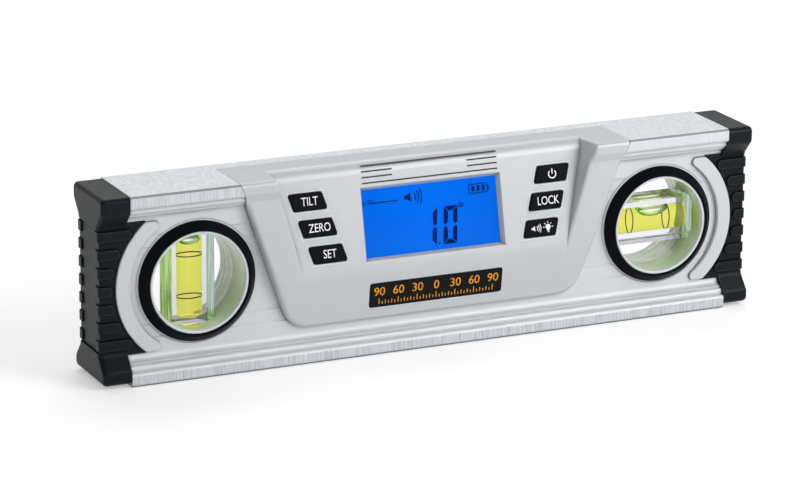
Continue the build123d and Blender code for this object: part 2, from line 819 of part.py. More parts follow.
# Windows: the left vial stands upright for plumb, the right one lies along the bar for level
for side, name in ((-1, "left"), (1, "right")):
    centre = (side * vial_x, 0, mid_z)
    ring_plane = Plane(origin=centre, x_dir=(1, 0, 0), z_dir=(0, 0, 1))
    ring_axis = Axis(centre, (0, 1, 0))
    if side < 0:
        vial_plane = Plane(origin=centre, x_dir=(1, 0, 0), z_dir=(0, 0, 1))
    else:
        vial_plane = Plane(origin=centre, x_dir=(0, 0, -1), z_dir=(1, 0, 0))

    # Half shell of the holder, with a pocket for its half of the block
    with BuildPart() as holder:
        with BuildSketch(ring_plane):
            with BuildLine():
                FilletPolyline(
                    (holder_bore, 0),
                    (holder_bore + holder_draft, rim_front - half_depth),
                    (bezel_inner - seat_gap, rim_front - half_depth),
                    (bezel_inner - seat_gap, flange_front - half_depth),
                    (holder_flange, flange_front - half_depth),
                    (holder_flange, web_recess - half_depth),
                    (window_radius - seat_gap, web_recess - half_depth),
                    (window_radius - seat_gap, 0),
                    radius=[0, 0.4, 0.4, 0, 0.15, 0, 0, 0],
                    close=True,
                )
            make_face()
        revolve(axis=ring_axis)
        with BuildSketch(vial_plane.offset(-block_length / 2 - 0.1)):
            Rectangle(block_width + 0.2, block_depth + 0.2)
        extrude(amount=block_length + 0.2, mode=Mode.SUBTRACT)
    holder.part.label = "vial_holder_" + name + "_front"
    export_step(holder.part, "parts/vial_holder_" + name + "_front.step")
    with BuildPart() as holder_rear:
        mirror(holder.part, about=Plane.XZ)
    holder_rear.part.label = "vial_holder_" + name + "_rear"
    export_step(holder_rear.part, "parts/vial_holder_" + name + "_rear.step")

    # Conical bezel that covers the holder's flange
    with BuildPart() as bezel:
        with BuildSketch(ring_plane):
            with BuildLine():
                FilletPolyline(
                    (bezel_inner, flange_front - half_depth),
                    (bezel_outer, flange_front - half_depth),
                    (bezel_outer, flange_front - 0.8 - half_depth),
                    (bezel_inner + 0.6, flange_front - bezel_rise - half_depth),
                    (bezel_inner, flange_front - bezel_rise - half_depth),
                    radius=[0, 0, 0.4, 0.3, 0.15],
                    close=True,
                )
            make_face()
        revolve(axis=ring_axis)
    bezel.part.label = "vial_bezel_" + name + "_front"
    export_step(bezel.part, "parts/vial_bezel_" + name + "_front.step")
    with BuildPart() as bezel_rear:
        mirror(bezel.part, about=Plane.XZ)
    bezel_rear.part.label = "vial_bezel_" + name + "_rear"
    export_step(bezel_rear.part, "parts/vial_bezel_" + name + "_rear.step")

    # Clear block with a blind bore, and the plug that closes it
    with BuildPart() as block:
        with BuildSketch(vial_plane.offset(-block_length / 2)):
            Rectangle(block_width, block_depth)
        extrude(amount=block_length)
        chamfer(block.edges().filter_by(Axis(centre, vial_plane.z_dir)), 0.6)
        with BuildSketch(vial_plane.offset(block_length / 2)):
            Circle(vial_bore + 0.05)
        extrude(amount=vial_plug_length - block_length, mode=Mode.SUBTRACT)
    block.part.label = "vial_block_" + name
    export_step(block.part, "parts/vial_block_" + name + ".step")
    with BuildPart() as plug:
        with BuildSketch(vial_plane.offset(liquid_half)):
            Circle(vial_bore)
        extrude(amount=vial_plug_length)
    plug.part.label = "vial_plug_" + name
    export_step(plug.part, "parts/vial_plug_" + name + ".step")

    # Liquid with the run that its bubble moves along, and the bubble
    if side < 0:
        bubble_half = plumb_bubble_half
        bubble_radius = plumb_bubble_radius
        bubble_plane = vial_plane.offset(liquid_half - plumb_bubble_half - bubble_gap)
    else:
        bubble_half = level_bubble_half
        bubble_radius = level_bubble_radius
        bubble_offset = vial_bore - bubble_gap - level_bubble_radius
        bubble_plane = Plane(
            origin=(centre[0] + level_bubble_shift, 0, mid_z + bubble_offset), x_dir=(0, 0, -1), z_dir=(1, 0, 0)
        )
    with BuildPart() as liquid:
        with BuildSketch(vial_plane.offset(-liquid_half)):
            Circle(vial_bore)
        extrude(amount=2 * liquid_half)
        if side < 0:
            with BuildSketch(vial_plane.offset(liquid_half)):
                Circle(plumb_bubble_radius + bubble_gap)
            extrude(amount=-2 * (plumb_bubble_half + bubble_gap) - plumb_bubble_travel, mode=Mode.SUBTRACT)
        else:
            run = level_bubble_half + level_bubble_travel + bubble_gap
            run_width = 2 * (level_bubble_radius + bubble_gap)
            with BuildSketch(bubble_plane.offset(-level_bubble_shift - run)):
                with Locations((-level_bubble_radius, 0)):
                    Rectangle(2 * level_bubble_radius + run_width, run_width)
            extrude(amount=2 * run, mode=Mode.SUBTRACT)
    liquid.part.label = "vial_liquid_" + name
    export_step(liquid.part, "parts/vial_liquid_" + name + ".step")
    with BuildPart() as bubble:
        with BuildSketch(Plane(origin=bubble_plane.origin, x_dir=bubble_plane.z_dir, z_dir=(0, -1, 0))):
            with BuildLine():
                if side < 0:
                    skin = JernArc((-bubble_half, 0), (0, 1), plumb_bubble_dome, -dome_angle)
                    Polyline(skin @ 1, (bubble_half, bubble_radius), (bubble_half, 0), skin @ 0)
                else:
                    skin = EllipticalCenterArc((0, 0), bubble_half, bubble_radius, start_angle=0, arc_size=180)
                    Line(skin @ 0, skin @ 1)
            make_face()
        revolve(axis=Axis(bubble_plane.origin, bubble_plane.z_dir))
    bubble.part.label = "vial_bubble_" + name
    export_step(bubble.part, "parts/vial_bubble_" + name + ".step")

# Crescent trim between the cap and the window, front and rear
with BuildPart() as trim_left:
    with BuildSketch(at_depth(web_recess)) as outline:
        crescent(-1, 0)
        fillet(outline.vertices(), trim_corner)
    extrude(amount=web_recess - trim_front)
    fillet(trim_left.faces().sort_by(Axis.Y)[0].edges(), 0.4)
    mirror(about=Plane.XZ)
trim_left.part.label = "arc_trim_left"
export_step(trim_left.part, "parts/arc_trim_left.step")
with BuildPart() as trim_right:
    mirror(trim_left.part, about=Plane.YZ)
trim_right.part.label = "arc_trim_right"
export_step(trim_right.part, "parts/arc_trim_right.step")

# End cap: follows the bar's waisted section, with ears on the webs and ribs that wrap the corners
with BuildPart() as cap_left:
    waist_low = mid_z - waist_half
    waist_high = mid_z + waist_half
    cap_top = beam_height - cap_inset
    with BuildSketch(Plane.YZ.offset(-bar_end)):
        with BuildLine():
            FilletPolyline(
                profile_point(cap_inset, cap_lift),
                profile_point(cap_inset, waist_low - 4.5),
                profile_point(cap_waist, waist_low + 1),
                profile_point(cap_waist, waist_high - 1),
                profile_point(cap_inset, waist_high + 4.5),
                profile_point(cap_inset, cap_top),
                profile_point(beam_depth - cap_inset, cap_top),
                profile_point(beam_depth - cap_inset, waist_high + 4.5),
                profile_point(beam_depth - cap_waist, waist_high - 1),
                profile_point(beam_depth - cap_waist, waist_low + 1),
                profile_point(beam_depth - cap_inset, waist_low - 4.5),
                profile_point(beam_depth - cap_inset, cap_lift),
                radius=[2, 2.4, 3, 3, 2.4, 2, 2, 2.4, 3, 3, 2.4, 2],
                close=True,
            )
        make_face()
    extrude(amount=-cap_length)
    fillet(cap_left.faces().sort_by(Axis.X)[0].edges(), 1.6)
    with BuildSketch(Plane.YZ.offset(-full_end)):
        with Locations((0, mid_z)):
            Rectangle(beam_depth, 2 * (waist_half - 1.5))
    extrude(amount=cap_panel, mode=Mode.SUBTRACT)
    with BuildSketch(Plane.YZ.offset(-bar_end)):
        with Locations((0, mid_z)):
            RectangleRounded(chamber_depth - 2 * seat_gap, chamber_height - 2 * seat_gap, chamber_corner)
    extrude(amount=cap_plug)
    with BuildSketch(at_depth(web_recess)) as ear:
        with Locations(((-bar_end - 1 - vial_x) / 2, mid_z)):
            Rectangle(bar_end + 1 - vial_x, 2 * (waist_half - seat_gap))
        with Locations((-vial_x, mid_z)):
            Circle(cap_arc, mode=Mode.SUBTRACT)
    extrude(amount=web_recess - cap_waist)
    for i in range(-3, 4):
        rib_z = mid_z + i * rib_pitch
        rib_end = -vial_x - sqrt(cap_arc**2 - (i * rib_pitch) ** 2) - 1.2 - rib_height / 2
        with BuildSketch(at_depth(cap_waist)):
            with Locations(((rib_end - full_end + 1.5) / 2, rib_z)):
                Rectangle(rib_end + full_end - 1.5, rib_height)
            with Locations((rib_end, rib_z)):
                Circle(rib_height / 2)
        extrude(amount=rib_proud)
        with BuildSketch(Plane.XY.offset(rib_z - rib_height / 2)):
            with BuildLine():
                FilletPolyline(
                    (1.6 - full_end, cap_waist - rib_proud - half_depth),
                    (-full_end, cap_waist - rib_proud - half_depth),
                    (-full_end, cap_waist + 3 - half_depth),
                    (1.6 - full_end, cap_waist + 3 - half_depth),
                    radius=[0, 1.4, 0.4, 0],
                    close=True,
                )
            make_face()
        extrude(amount=rib_height)
    mirror(about=Plane.XZ)
    # Land of the crescent trim, level with the webs
    for depth, way in ((web_recess, 1), (rear_web, -1)):
        with BuildSketch(at_depth(depth)):
            with Locations((-vial_x, mid_z)):
                Circle(cap_arc)
        extrude(amount=way * web_recess, mode=Mode.SUBTRACT)
cap_left.part.label = "end_cap_left"
export_step(cap_left.part, "parts/end_cap_left.step")
with BuildPart() as cap_right:
    mirror(cap_left.part, about=Plane.YZ)
cap_right.part.label = "end_cap_right"
export_step(cap_right.part, "parts/end_cap_right.step")
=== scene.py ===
"""Looks of a digital spirit level, laid out as an add-on and run as a script.

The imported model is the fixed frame: every piece below is placed from it, in metres.
"""

import math

import bmesh
import bpy
import numpy as np
from bpy.props import FloatProperty, FloatVectorProperty, PointerProperty
from bpy.types import Operator, Panel, PropertyGroup
from mathutils import Matrix, Vector


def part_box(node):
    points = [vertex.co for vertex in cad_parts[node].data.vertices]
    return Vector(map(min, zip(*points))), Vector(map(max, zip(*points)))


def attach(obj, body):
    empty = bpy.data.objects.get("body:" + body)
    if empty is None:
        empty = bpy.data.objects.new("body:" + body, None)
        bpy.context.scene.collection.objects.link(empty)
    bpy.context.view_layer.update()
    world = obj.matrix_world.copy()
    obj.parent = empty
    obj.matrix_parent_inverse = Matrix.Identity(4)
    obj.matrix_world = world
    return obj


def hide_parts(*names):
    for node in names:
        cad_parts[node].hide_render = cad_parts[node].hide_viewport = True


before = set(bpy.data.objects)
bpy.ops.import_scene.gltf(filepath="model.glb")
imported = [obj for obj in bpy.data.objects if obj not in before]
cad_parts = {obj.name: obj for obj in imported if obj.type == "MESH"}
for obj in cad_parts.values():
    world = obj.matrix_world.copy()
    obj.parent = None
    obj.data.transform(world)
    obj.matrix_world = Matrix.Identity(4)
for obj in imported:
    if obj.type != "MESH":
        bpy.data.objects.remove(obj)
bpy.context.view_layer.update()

bl_info = {
    "name": "Spirit Level Looks",
    "version": (1, 0, 0),
    "blender": (4, 5, 0),
    "location": "3D View > Sidebar > Level",
    "description": "Dresses the packed digital spirit level and sets its studio",
    "category": "Object",
}

MM = 0.001
RIGHT = np.array([1.0, 0.0, 0.0])
UP = np.array([0.0, 0.0, 1.0])
FRONT = np.array([0.0, -1.0, 0.0])
FLATNESS = 0.02 * MM  # corners this near to the outermost one lie on the same flat face
SIDES = ("left", "right")
ROWS = ("bottom", "middle", "top")
KEYS = ["key_" + side + "_" + row for side in SIDES for row in ROWS]
RAYS = 6  # rays that feel for creases and edges


# Sizes and colours that a user would change


def length(name, millimetres, text):
    """A length property whose default is given in millimetres."""
    return FloatProperty(name=name, description=text, default=millimetres * MM, unit="LENGTH", precision=5)


def share(name, value, text):
    """A share between nothing and all."""
    return FloatProperty(name=name, description=text, default=value, min=0.0, max=1.0, subtype="FACTOR")


def colour(name, red, green, blue, text):
    """A linear colour property."""
    return FloatVectorProperty(
        name=name, description=text, default=(red, green, blue), subtype="COLOR", size=3, min=0.0, max=1.0
    )


def view_turn(name, degrees, text):
    """An angle property whose default is given in degrees."""
    return FloatProperty(name=name, description=text, default=math.radians(degrees), subtype="ANGLE")


def lamp_power(name, watts, text):
    """The power of a lamp."""
    return FloatProperty(name=name, description=text, default=watts, unit="POWER")


class LevelSizes(PropertyGroup):
    """Sizes of the pieces that the looks add to the model."""

    print_lift: length("Print thickness", 0.02, "Thickness of printed marks")
    bore_share: share("Filled bore", 0.94, "Width of the liquid against the bore of its vial")
    block_chamfer: length("Block chamfer", 0.4, "Chamfer along the edges of the clear vial blocks")
    mark_half: length("Mark distance", 7.5, "Distance of each vial mark from the middle of the vial")
    mark_width: length("Mark width", 0.44, "Width of the printed vial marks")
    digit_height: length("Digit height", 13.4, "Height of the digits on the display")
    digit_width: length("Digit width", 5.4, "Width of the digits on the display")
    digit_stroke: length("Digit stroke", 1.7, "Stroke of the digits on the display")
    legend_size: length("Legend size", 4.3, "Letter size of the key legends")
    legend_bold: length("Legend weight", 0.01, "Extra weight on each side of a letter's strokes")
    legend_narrow: share("Legend width", 0.76, "Width of the legends against that of the plain letters")
    pane_depth: length("Pane depth", 2.0, "Depth of the clear pane below the face of the console")
    key_proud: length("Key height", 0.7, "Height of the keys above the face of the console")
    stripe_width: length("Stripe width", 0.52, "Width of the printed lines above the display")
    stripe_pitch: length("Stripe pitch", 2.05, "Distance between the printed lines above the display")
    stripe_rise: length("Stripe height", 14.5, "Lowest printed line above the middle of the display")
    stripe_half: length("Stripe reach", 26.4, "Half length of the printed lines above the display")
    stripe_gap: length("Stripe gap", 14.6, "Half width of the gap in the two middle lines")
    # painted highlight: the light rims round the keys stand for the bright edges of the key openings
    rim_gap: length("Key gap", 0.75, "Distance of the light rim from its key")
    rim_width: length("Key rims", 0.22, "Width of the light rim round each key")
    badge_size: length("Badge numbers", 4.5, "Size of the numbers on the plate under the display")
    slot_arm: length("Screw slot reach", 1.25, "Reach of the cross slots from the middle of a screw head")
    slot_width: length("Screw slot width", 0.52, "Width of the cross slots in the screw heads")


class LevelColours(PropertyGroup):
    """Base colours of the finishes."""

    aluminium: colour("Anodised bar", 0.69, 0.705, 0.72, "Satin web and beads of the bar")
    milled: colour("Milled edge", 0.58, 0.615, 0.65, "Milled strips along the edges of the bar")
    level_face: colour("Milled faces", 0.76, 0.79, 0.815, "Milled top face and sole of the bar")
    magnet: colour("Magnets", 0.62, 0.62, 0.61, "Nickel of the magnets in the sole")
    cover: colour("Module", 0.565, 0.58, 0.595, "Silver housing of the module")
    line: colour("Printed lines", 0.012, 0.013, 0.015, "Dark lines above the display")
    trim: colour("Crescent trim", 0.64, 0.655, 0.67, "Crescents beside the windows")
    cap: colour("End caps", 0.004, 0.0052, 0.0065, "Black moulded end caps")
    # painted highlight: a lighter colour on the end caps' edges, where they catch the light
    cap_edge: colour("End cap edges", 0.034, 0.042, 0.047, "Lighter edges of the end caps")
    bezel: colour("Window rings", 0.003, 0.0045, 0.006, "Black rings round the windows")
    holder_rim: colour("Vial holder rims", 0.72, 0.725, 0.75, "White rims of the windows' lining")
    # painted shade: the front half of the lining's wall gets a darker green-grey than its pale rims
    holder: colour("Vial holders", 0.48, 0.60, 0.38, "Front part of the windows' lining")
    holder_deep: colour("Vial holders inside", 0.70, 0.90, 0.67, "Rear part of the windows' lining")
    glow: colour("Vial glow", 0.50, 0.62, 0.16, "Lime light that the liquid throws on the lining")
    acrylic: colour("Vial blocks", 0.87, 0.87, 0.895, "Clear vial blocks")
    # painted reflection: the grey-blue tint on the blocks' sides stands for the darker surroundings they
    # mirror
    acrylic_side: colour("Vial block sides", 0.30, 0.30, 0.48, "Smoky sides of the vial blocks")
    acrylic_glow: colour("Vial block glow", 0.50, 0.80, 0.22, "Light of the liquid in the blocks' sides")
    bubble: colour("Bubbles", 0.88, 0.93, 1.0, "Middle of the bubbles, bluish before the yellow liquid")
    # painted shade: the dark green rims of the bubbles
    bubble_rim: colour("Bubble rims", 0.40, 0.74, 0.22, "Green rims of the bubbles")
    bubble_shine: colour("Bubble shine", 0.38, 0.38, 1.0, "Shine that the liquid before it turns white")
    liquid: colour("Vial liquid", 0.99, 0.95, 0.13, "Yellow-green vial liquid in the middle")
    # painted shading: the liquid is painted greener at the sides of its bore
    liquid_edge: colour("Vial liquid edge", 0.78, 0.88, 0.10, "Yellow-green vial liquid at its sides")
    mark: colour("Vial marks", 0.02, 0.025, 0.01, "Black rings on the vials")
    pane: colour("Display pane", 0.97, 0.98, 1.0, "Clear pane over the display")
    lit: colour("Lit display", 0.0, 0.150, 0.84, "Backlit display")
    digit: colour("Digits", 0.001, 0.012, 0.11, "Dark segments of the display")
    diffuser: colour("Backlight", 0.8, 0.82, 0.85, "White panel behind the display")
    key: colour("Keys", 0.003, 0.0042, 0.006, "Black keys and plate")
    legend: colour("Legends", 0.92, 0.93, 0.94, "White prints on the keys")
    # painted highlight: colour of the light rims round the keys
    rim: colour("Key rims", 0.78, 0.79, 0.80, "Light rims round the keys")
    scale: colour("Scale", 0.90, 0.36, 0.012, "Orange numbers on the plate under the display")
    board: colour("Board", 0.02, 0.12, 0.05, "Green resist of the circuit board")
    chip: colour("Chips", 0.02, 0.02, 0.022, "Black tilt sensor and buzzer")
    mat: colour("Mats", 0.12, 0.12, 0.13, "Grey rubber under the keys")
    cell: colour("Cells", 0.06, 0.07, 0.09, "Plain sleeves of the cells")
    contact: colour("Contacts", 0.68, 0.67, 0.63, "Nickel of the battery contacts")
    screw: colour("Screws", 0.50, 0.51, 0.53, "Zinc of the screws")
    # painted shade: the near-black colour of the screw slots stands for the shade in their recesses
    slot: colour("Screw slots", 0.012, 0.012, 0.013, "Dark slots in the screw heads")


class LevelStudio(PropertyGroup):
    """Camera and light of the studio."""

    lens: FloatProperty(
        name="Lens", description="Focal length on a 36 mm sensor", default=172.22, unit="CAMERA"
    )
    camera: FloatVectorProperty(
        name="Camera",
        description="Place of the camera",
        default=(-0.56043, -1.18036, 0.42106),
        subtype="TRANSLATION",
    )
    azimuth: view_turn("Azimuth", -25.058, "Turn of the view to the left")
    elevation: view_turn("Elevation", 16.610, "Height of the view")
    roll: view_turn("Roll", 0.526, "Tilt of the picture")
    key_power: lamp_power("Key light", 3.6, "Large light from the front right")
    fill_power: lamp_power("Fill light", 2.1, "Soft light from the left")
    top_power: lamp_power("Top light", 6.2, "Soft light from above")
    ambient: FloatProperty(name="Ambient", description="Level of the surrounding light", default=0.38)
    floor: colour("Floor", 0.82, 0.82, 0.82, "Pale floor and backdrop")
    floor_glow: share("Floor glow", 0.38, "Light of the floor itself, where the camera or a gloss sees it")
    floor_through: share("Floor behind glass", 0.12, "Light of the floor itself, where glass shows it")


# Surfaces


def weld(mesh, reach=1e-7):
    """Merges points that coincide, and turns all faces outwards."""
    shape = bmesh.new()
    shape.from_mesh(mesh)
    bmesh.ops.remove_doubles(shape, verts=shape.verts, dist=reach)
    bmesh.ops.dissolve_degenerate(shape, edges=shape.edges, dist=reach)
    bmesh.ops.recalc_face_normals(shape, faces=shape.faces)
    shape.to_mesh(mesh)
    shape.free()


def piece(name, points, faces, body, slot, finish, replaces=(), crease=35.0):
    """A new piece from arrays of points and faces, welded, creased, dressed and set to ride on a body."""
    mesh = bpy.data.meshes.new(name)
    mesh.from_pydata(np.asarray(points).tolist(), [], [list(face) for face in faces])
    weld(mesh)
    mesh.shade_smooth()
    mesh.set_sharp_from_angle(angle=math.radians(crease))
    made = bpy.data.objects.new(name, mesh)
    bpy.context.scene.collection.objects.link(made)
    mesh.materials.append(finish)
    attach(made, body)
    if replaces:
        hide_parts(*replaces)


def grid_faces(rows, columns, round_rows=False, round_columns=True):
    """Quads of a grid of points, closed across its rows or columns where asked."""
    i, j = np.meshgrid(
        np.arange(rows if round_rows else rows - 1),
        np.arange(columns if round_columns else columns - 1),
        indexing="ij",
    )
    next_i, next_j = (i + 1) % rows, (j + 1) % columns
    corners = (i * columns + j, i * columns + next_j, next_i * columns + next_j, next_i * columns + j)
    return np.stack(corners, axis=-1).reshape(-1, 4)


def axes_about(axis):
    """Two unit directions square to an axis."""
    first = np.cross(axis, FRONT)
    first = first / np.linalg.norm(first)
    return first, np.cross(axis, first)


def turned(profile, centre, axis, count=72, closed=False):
    """Surface of revolution: point = centre + height * axis + radius * (cos a, sin a)."""
    radius, height = np.asarray(profile, float).T
    angle = np.linspace(0, 2 * math.pi, count, endpoint=False)
    first, second = axes_about(axis)
    ring = np.cos(angle)[:, None] * first + np.sin(angle)[:, None] * second
    points = centre + height[:, None, None] * axis + radius[:, None, None] * ring
    return points.reshape(-1, 3), grid_faces(len(radius), count, round_rows=closed)


def carried(outline, stations, centre, axis):
    """An outline carried along an axis: point = centre + station * axis + outline less its inset there."""
    outline = np.asarray(outline, float)
    first, second = axes_about(axis)
    place, inset = np.asarray(stations, float).T
    half = np.abs(outline).max(axis=0)
    kept = 1 - inset[:, None] / half
    flat = outline[None] * kept[:, None]
    points = centre + place[:, None, None] * axis
    points = points + flat[..., :1] * first + flat[..., 1:] * second
    count = len(outline)
    faces = grid_faces(len(place), count).tolist()
    faces.append(list(range(count))[::-1])
    faces.append(list(range((len(place) - 1) * count, len(place) * count)))
    return points.reshape(-1, 3), faces


def cut_corners(x, y, cut):
    """A rectangle of two half widths about the middle, with its four corners cut off."""
    return [
        (x, y - cut), (x - cut, y), (cut - x, y), (-x, y - cut),
        (-x, cut - y), (cut - x, -y), (x - cut, -y), (x, cut - y),
    ]


def arc(centre, radius, start, stop, count):
    """Points on an arc in the plane, centre + radius * (cos a, sin a), between two angles in degrees."""
    angle = np.radians(np.linspace(start, stop, count))
    return np.column_stack((centre[0] + radius * np.cos(angle), centre[1] + radius * np.sin(angle)))


def bow(centre, radius, stroke, start, stop, count):
    """Outline of a band that follows an arc: half a stroke outside it, and back half a stroke inside."""
    outer = arc(centre, radius + stroke / 2, start, stop, count)
    inner = arc(centre, radius - stroke / 2, stop, start, count)
    return np.vstack((outer, inner))


def bar_outline(start, stop, stroke):
    """Outline of a straight stroke between two points, half its width to each side of them."""
    start, stop = np.asarray(start, float), np.asarray(stop, float)
    along = (stop - start) / np.linalg.norm(stop - start)
    across = np.array([-along[1], along[0]]) * stroke / 2
    return np.array([start - across, stop - across, stop + across, start + across])


def ring_halves(centre, radius, stroke, count=17):
    """A ring as two half bands."""
    return [bow(centre, radius, stroke, start, start + 180, count) for start in (0, 180)]


def node_points(node):
    """Corner points of a CAD node."""
    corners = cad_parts[node].data.vertices
    points = np.empty(3 * len(corners))
    corners.foreach_get("co", points)
    return points.reshape(-1, 3)


def middle_of(points):
    """Middle of the box round some points."""
    return (points.min(axis=0) + points.max(axis=0)) / 2


def middle_and_half(node):
    """Middle of a node's box, and half its size along each axis."""
    low, high = (np.array(corner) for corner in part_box(node))
    return (low + high) / 2, (high - low) / 2


def front_face(node):
    """Middle and directions (point, across, up, outwards) of a node's foremost flat face."""
    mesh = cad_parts[node].data
    mesh.calc_loop_triangles()
    corners = node_points(node)
    triangles = np.empty(3 * len(mesh.loop_triangles), int)
    mesh.loop_triangles.foreach_get("vertices", triangles)
    a, b, c = corners[triangles.reshape(-1, 3).T]
    normal = np.cross(b - a, c - a)
    area = np.linalg.norm(normal, axis=1)
    facing = np.where(normal @ FRONT > 0.5 * area, area, 0)
    outwards = normal[facing.argmax()] / area[facing.argmax()]
    height = corners @ outwards
    middle = middle_of(corners[height > height.max() - FLATNESS])
    return middle, RIGHT, np.cross(outwards, RIGHT), outwards


def on_face(face, flat, lift):
    """Places flat points on a face: point = middle + u * across + v * up + lift * outwards."""
    middle, across, up, outwards = face
    return middle + flat[:, :1] * across + flat[:, 1:2] * up + lift * outwards


def slabs(outlines, face, lift, thickness):
    """Thin closed plates: each outline on the face and a thickness further out, with walls between."""
    points, faces, start = [], [], 0
    for outline in outlines:
        outline = np.asarray(outline, float)
        count = len(outline)
        points += [on_face(face, outline, lift), on_face(face, outline, lift + thickness)]
        faces.append(list(range(start + count - 1, start - 1, -1)))
        faces.append(list(range(start + count, start + 2 * count)))
        faces += (grid_faces(2, count) + start).tolist()
        start += 2 * count
    return np.vstack(points), faces


def lettering(text, size, face, offset, thickness, bold, narrow=1.0):
    """Points and faces of a line of letters, narrowed and centred at an offset on a face."""
    line = bpy.data.curves.new("lettering", "FONT")
    line.body = text
    line.size = size
    line.align_x, line.align_y = "CENTER", "CENTER"
    line.extrude = thickness / 2
    line.offset = bold
    line.resolution_u = 4
    holder = bpy.data.objects.new("lettering", line)
    bpy.context.scene.collection.objects.link(holder)
    bpy.context.view_layer.update()
    mesh = bpy.data.meshes.new_from_object(holder.evaluated_get(bpy.context.evaluated_depsgraph_get()))
    bpy.data.objects.remove(holder)
    bpy.data.curves.remove(line)
    flat = np.empty(len(mesh.vertices) * 3)
    mesh.vertices.foreach_get("co", flat)
    flat = flat.reshape(-1, 3)
    faces = [list(p.vertices) for p in mesh.polygons]
    bpy.data.meshes.remove(mesh)
    placed = flat[:, :2] * [narrow, 1] + offset
    points = on_face(face, placed, thickness / 2) + flat[:, 2:] * face[3]
    return points, faces


def joined(parts):
    """Several (points, faces) pairs as one."""
    points, faces, start = [], [], 0
    for part_points, part_faces in parts:
        points.append(part_points)
        faces += [[index + start for index in face] for face in part_faces]
        start += len(part_points)
    return np.vstack(points), faces


# Finishes


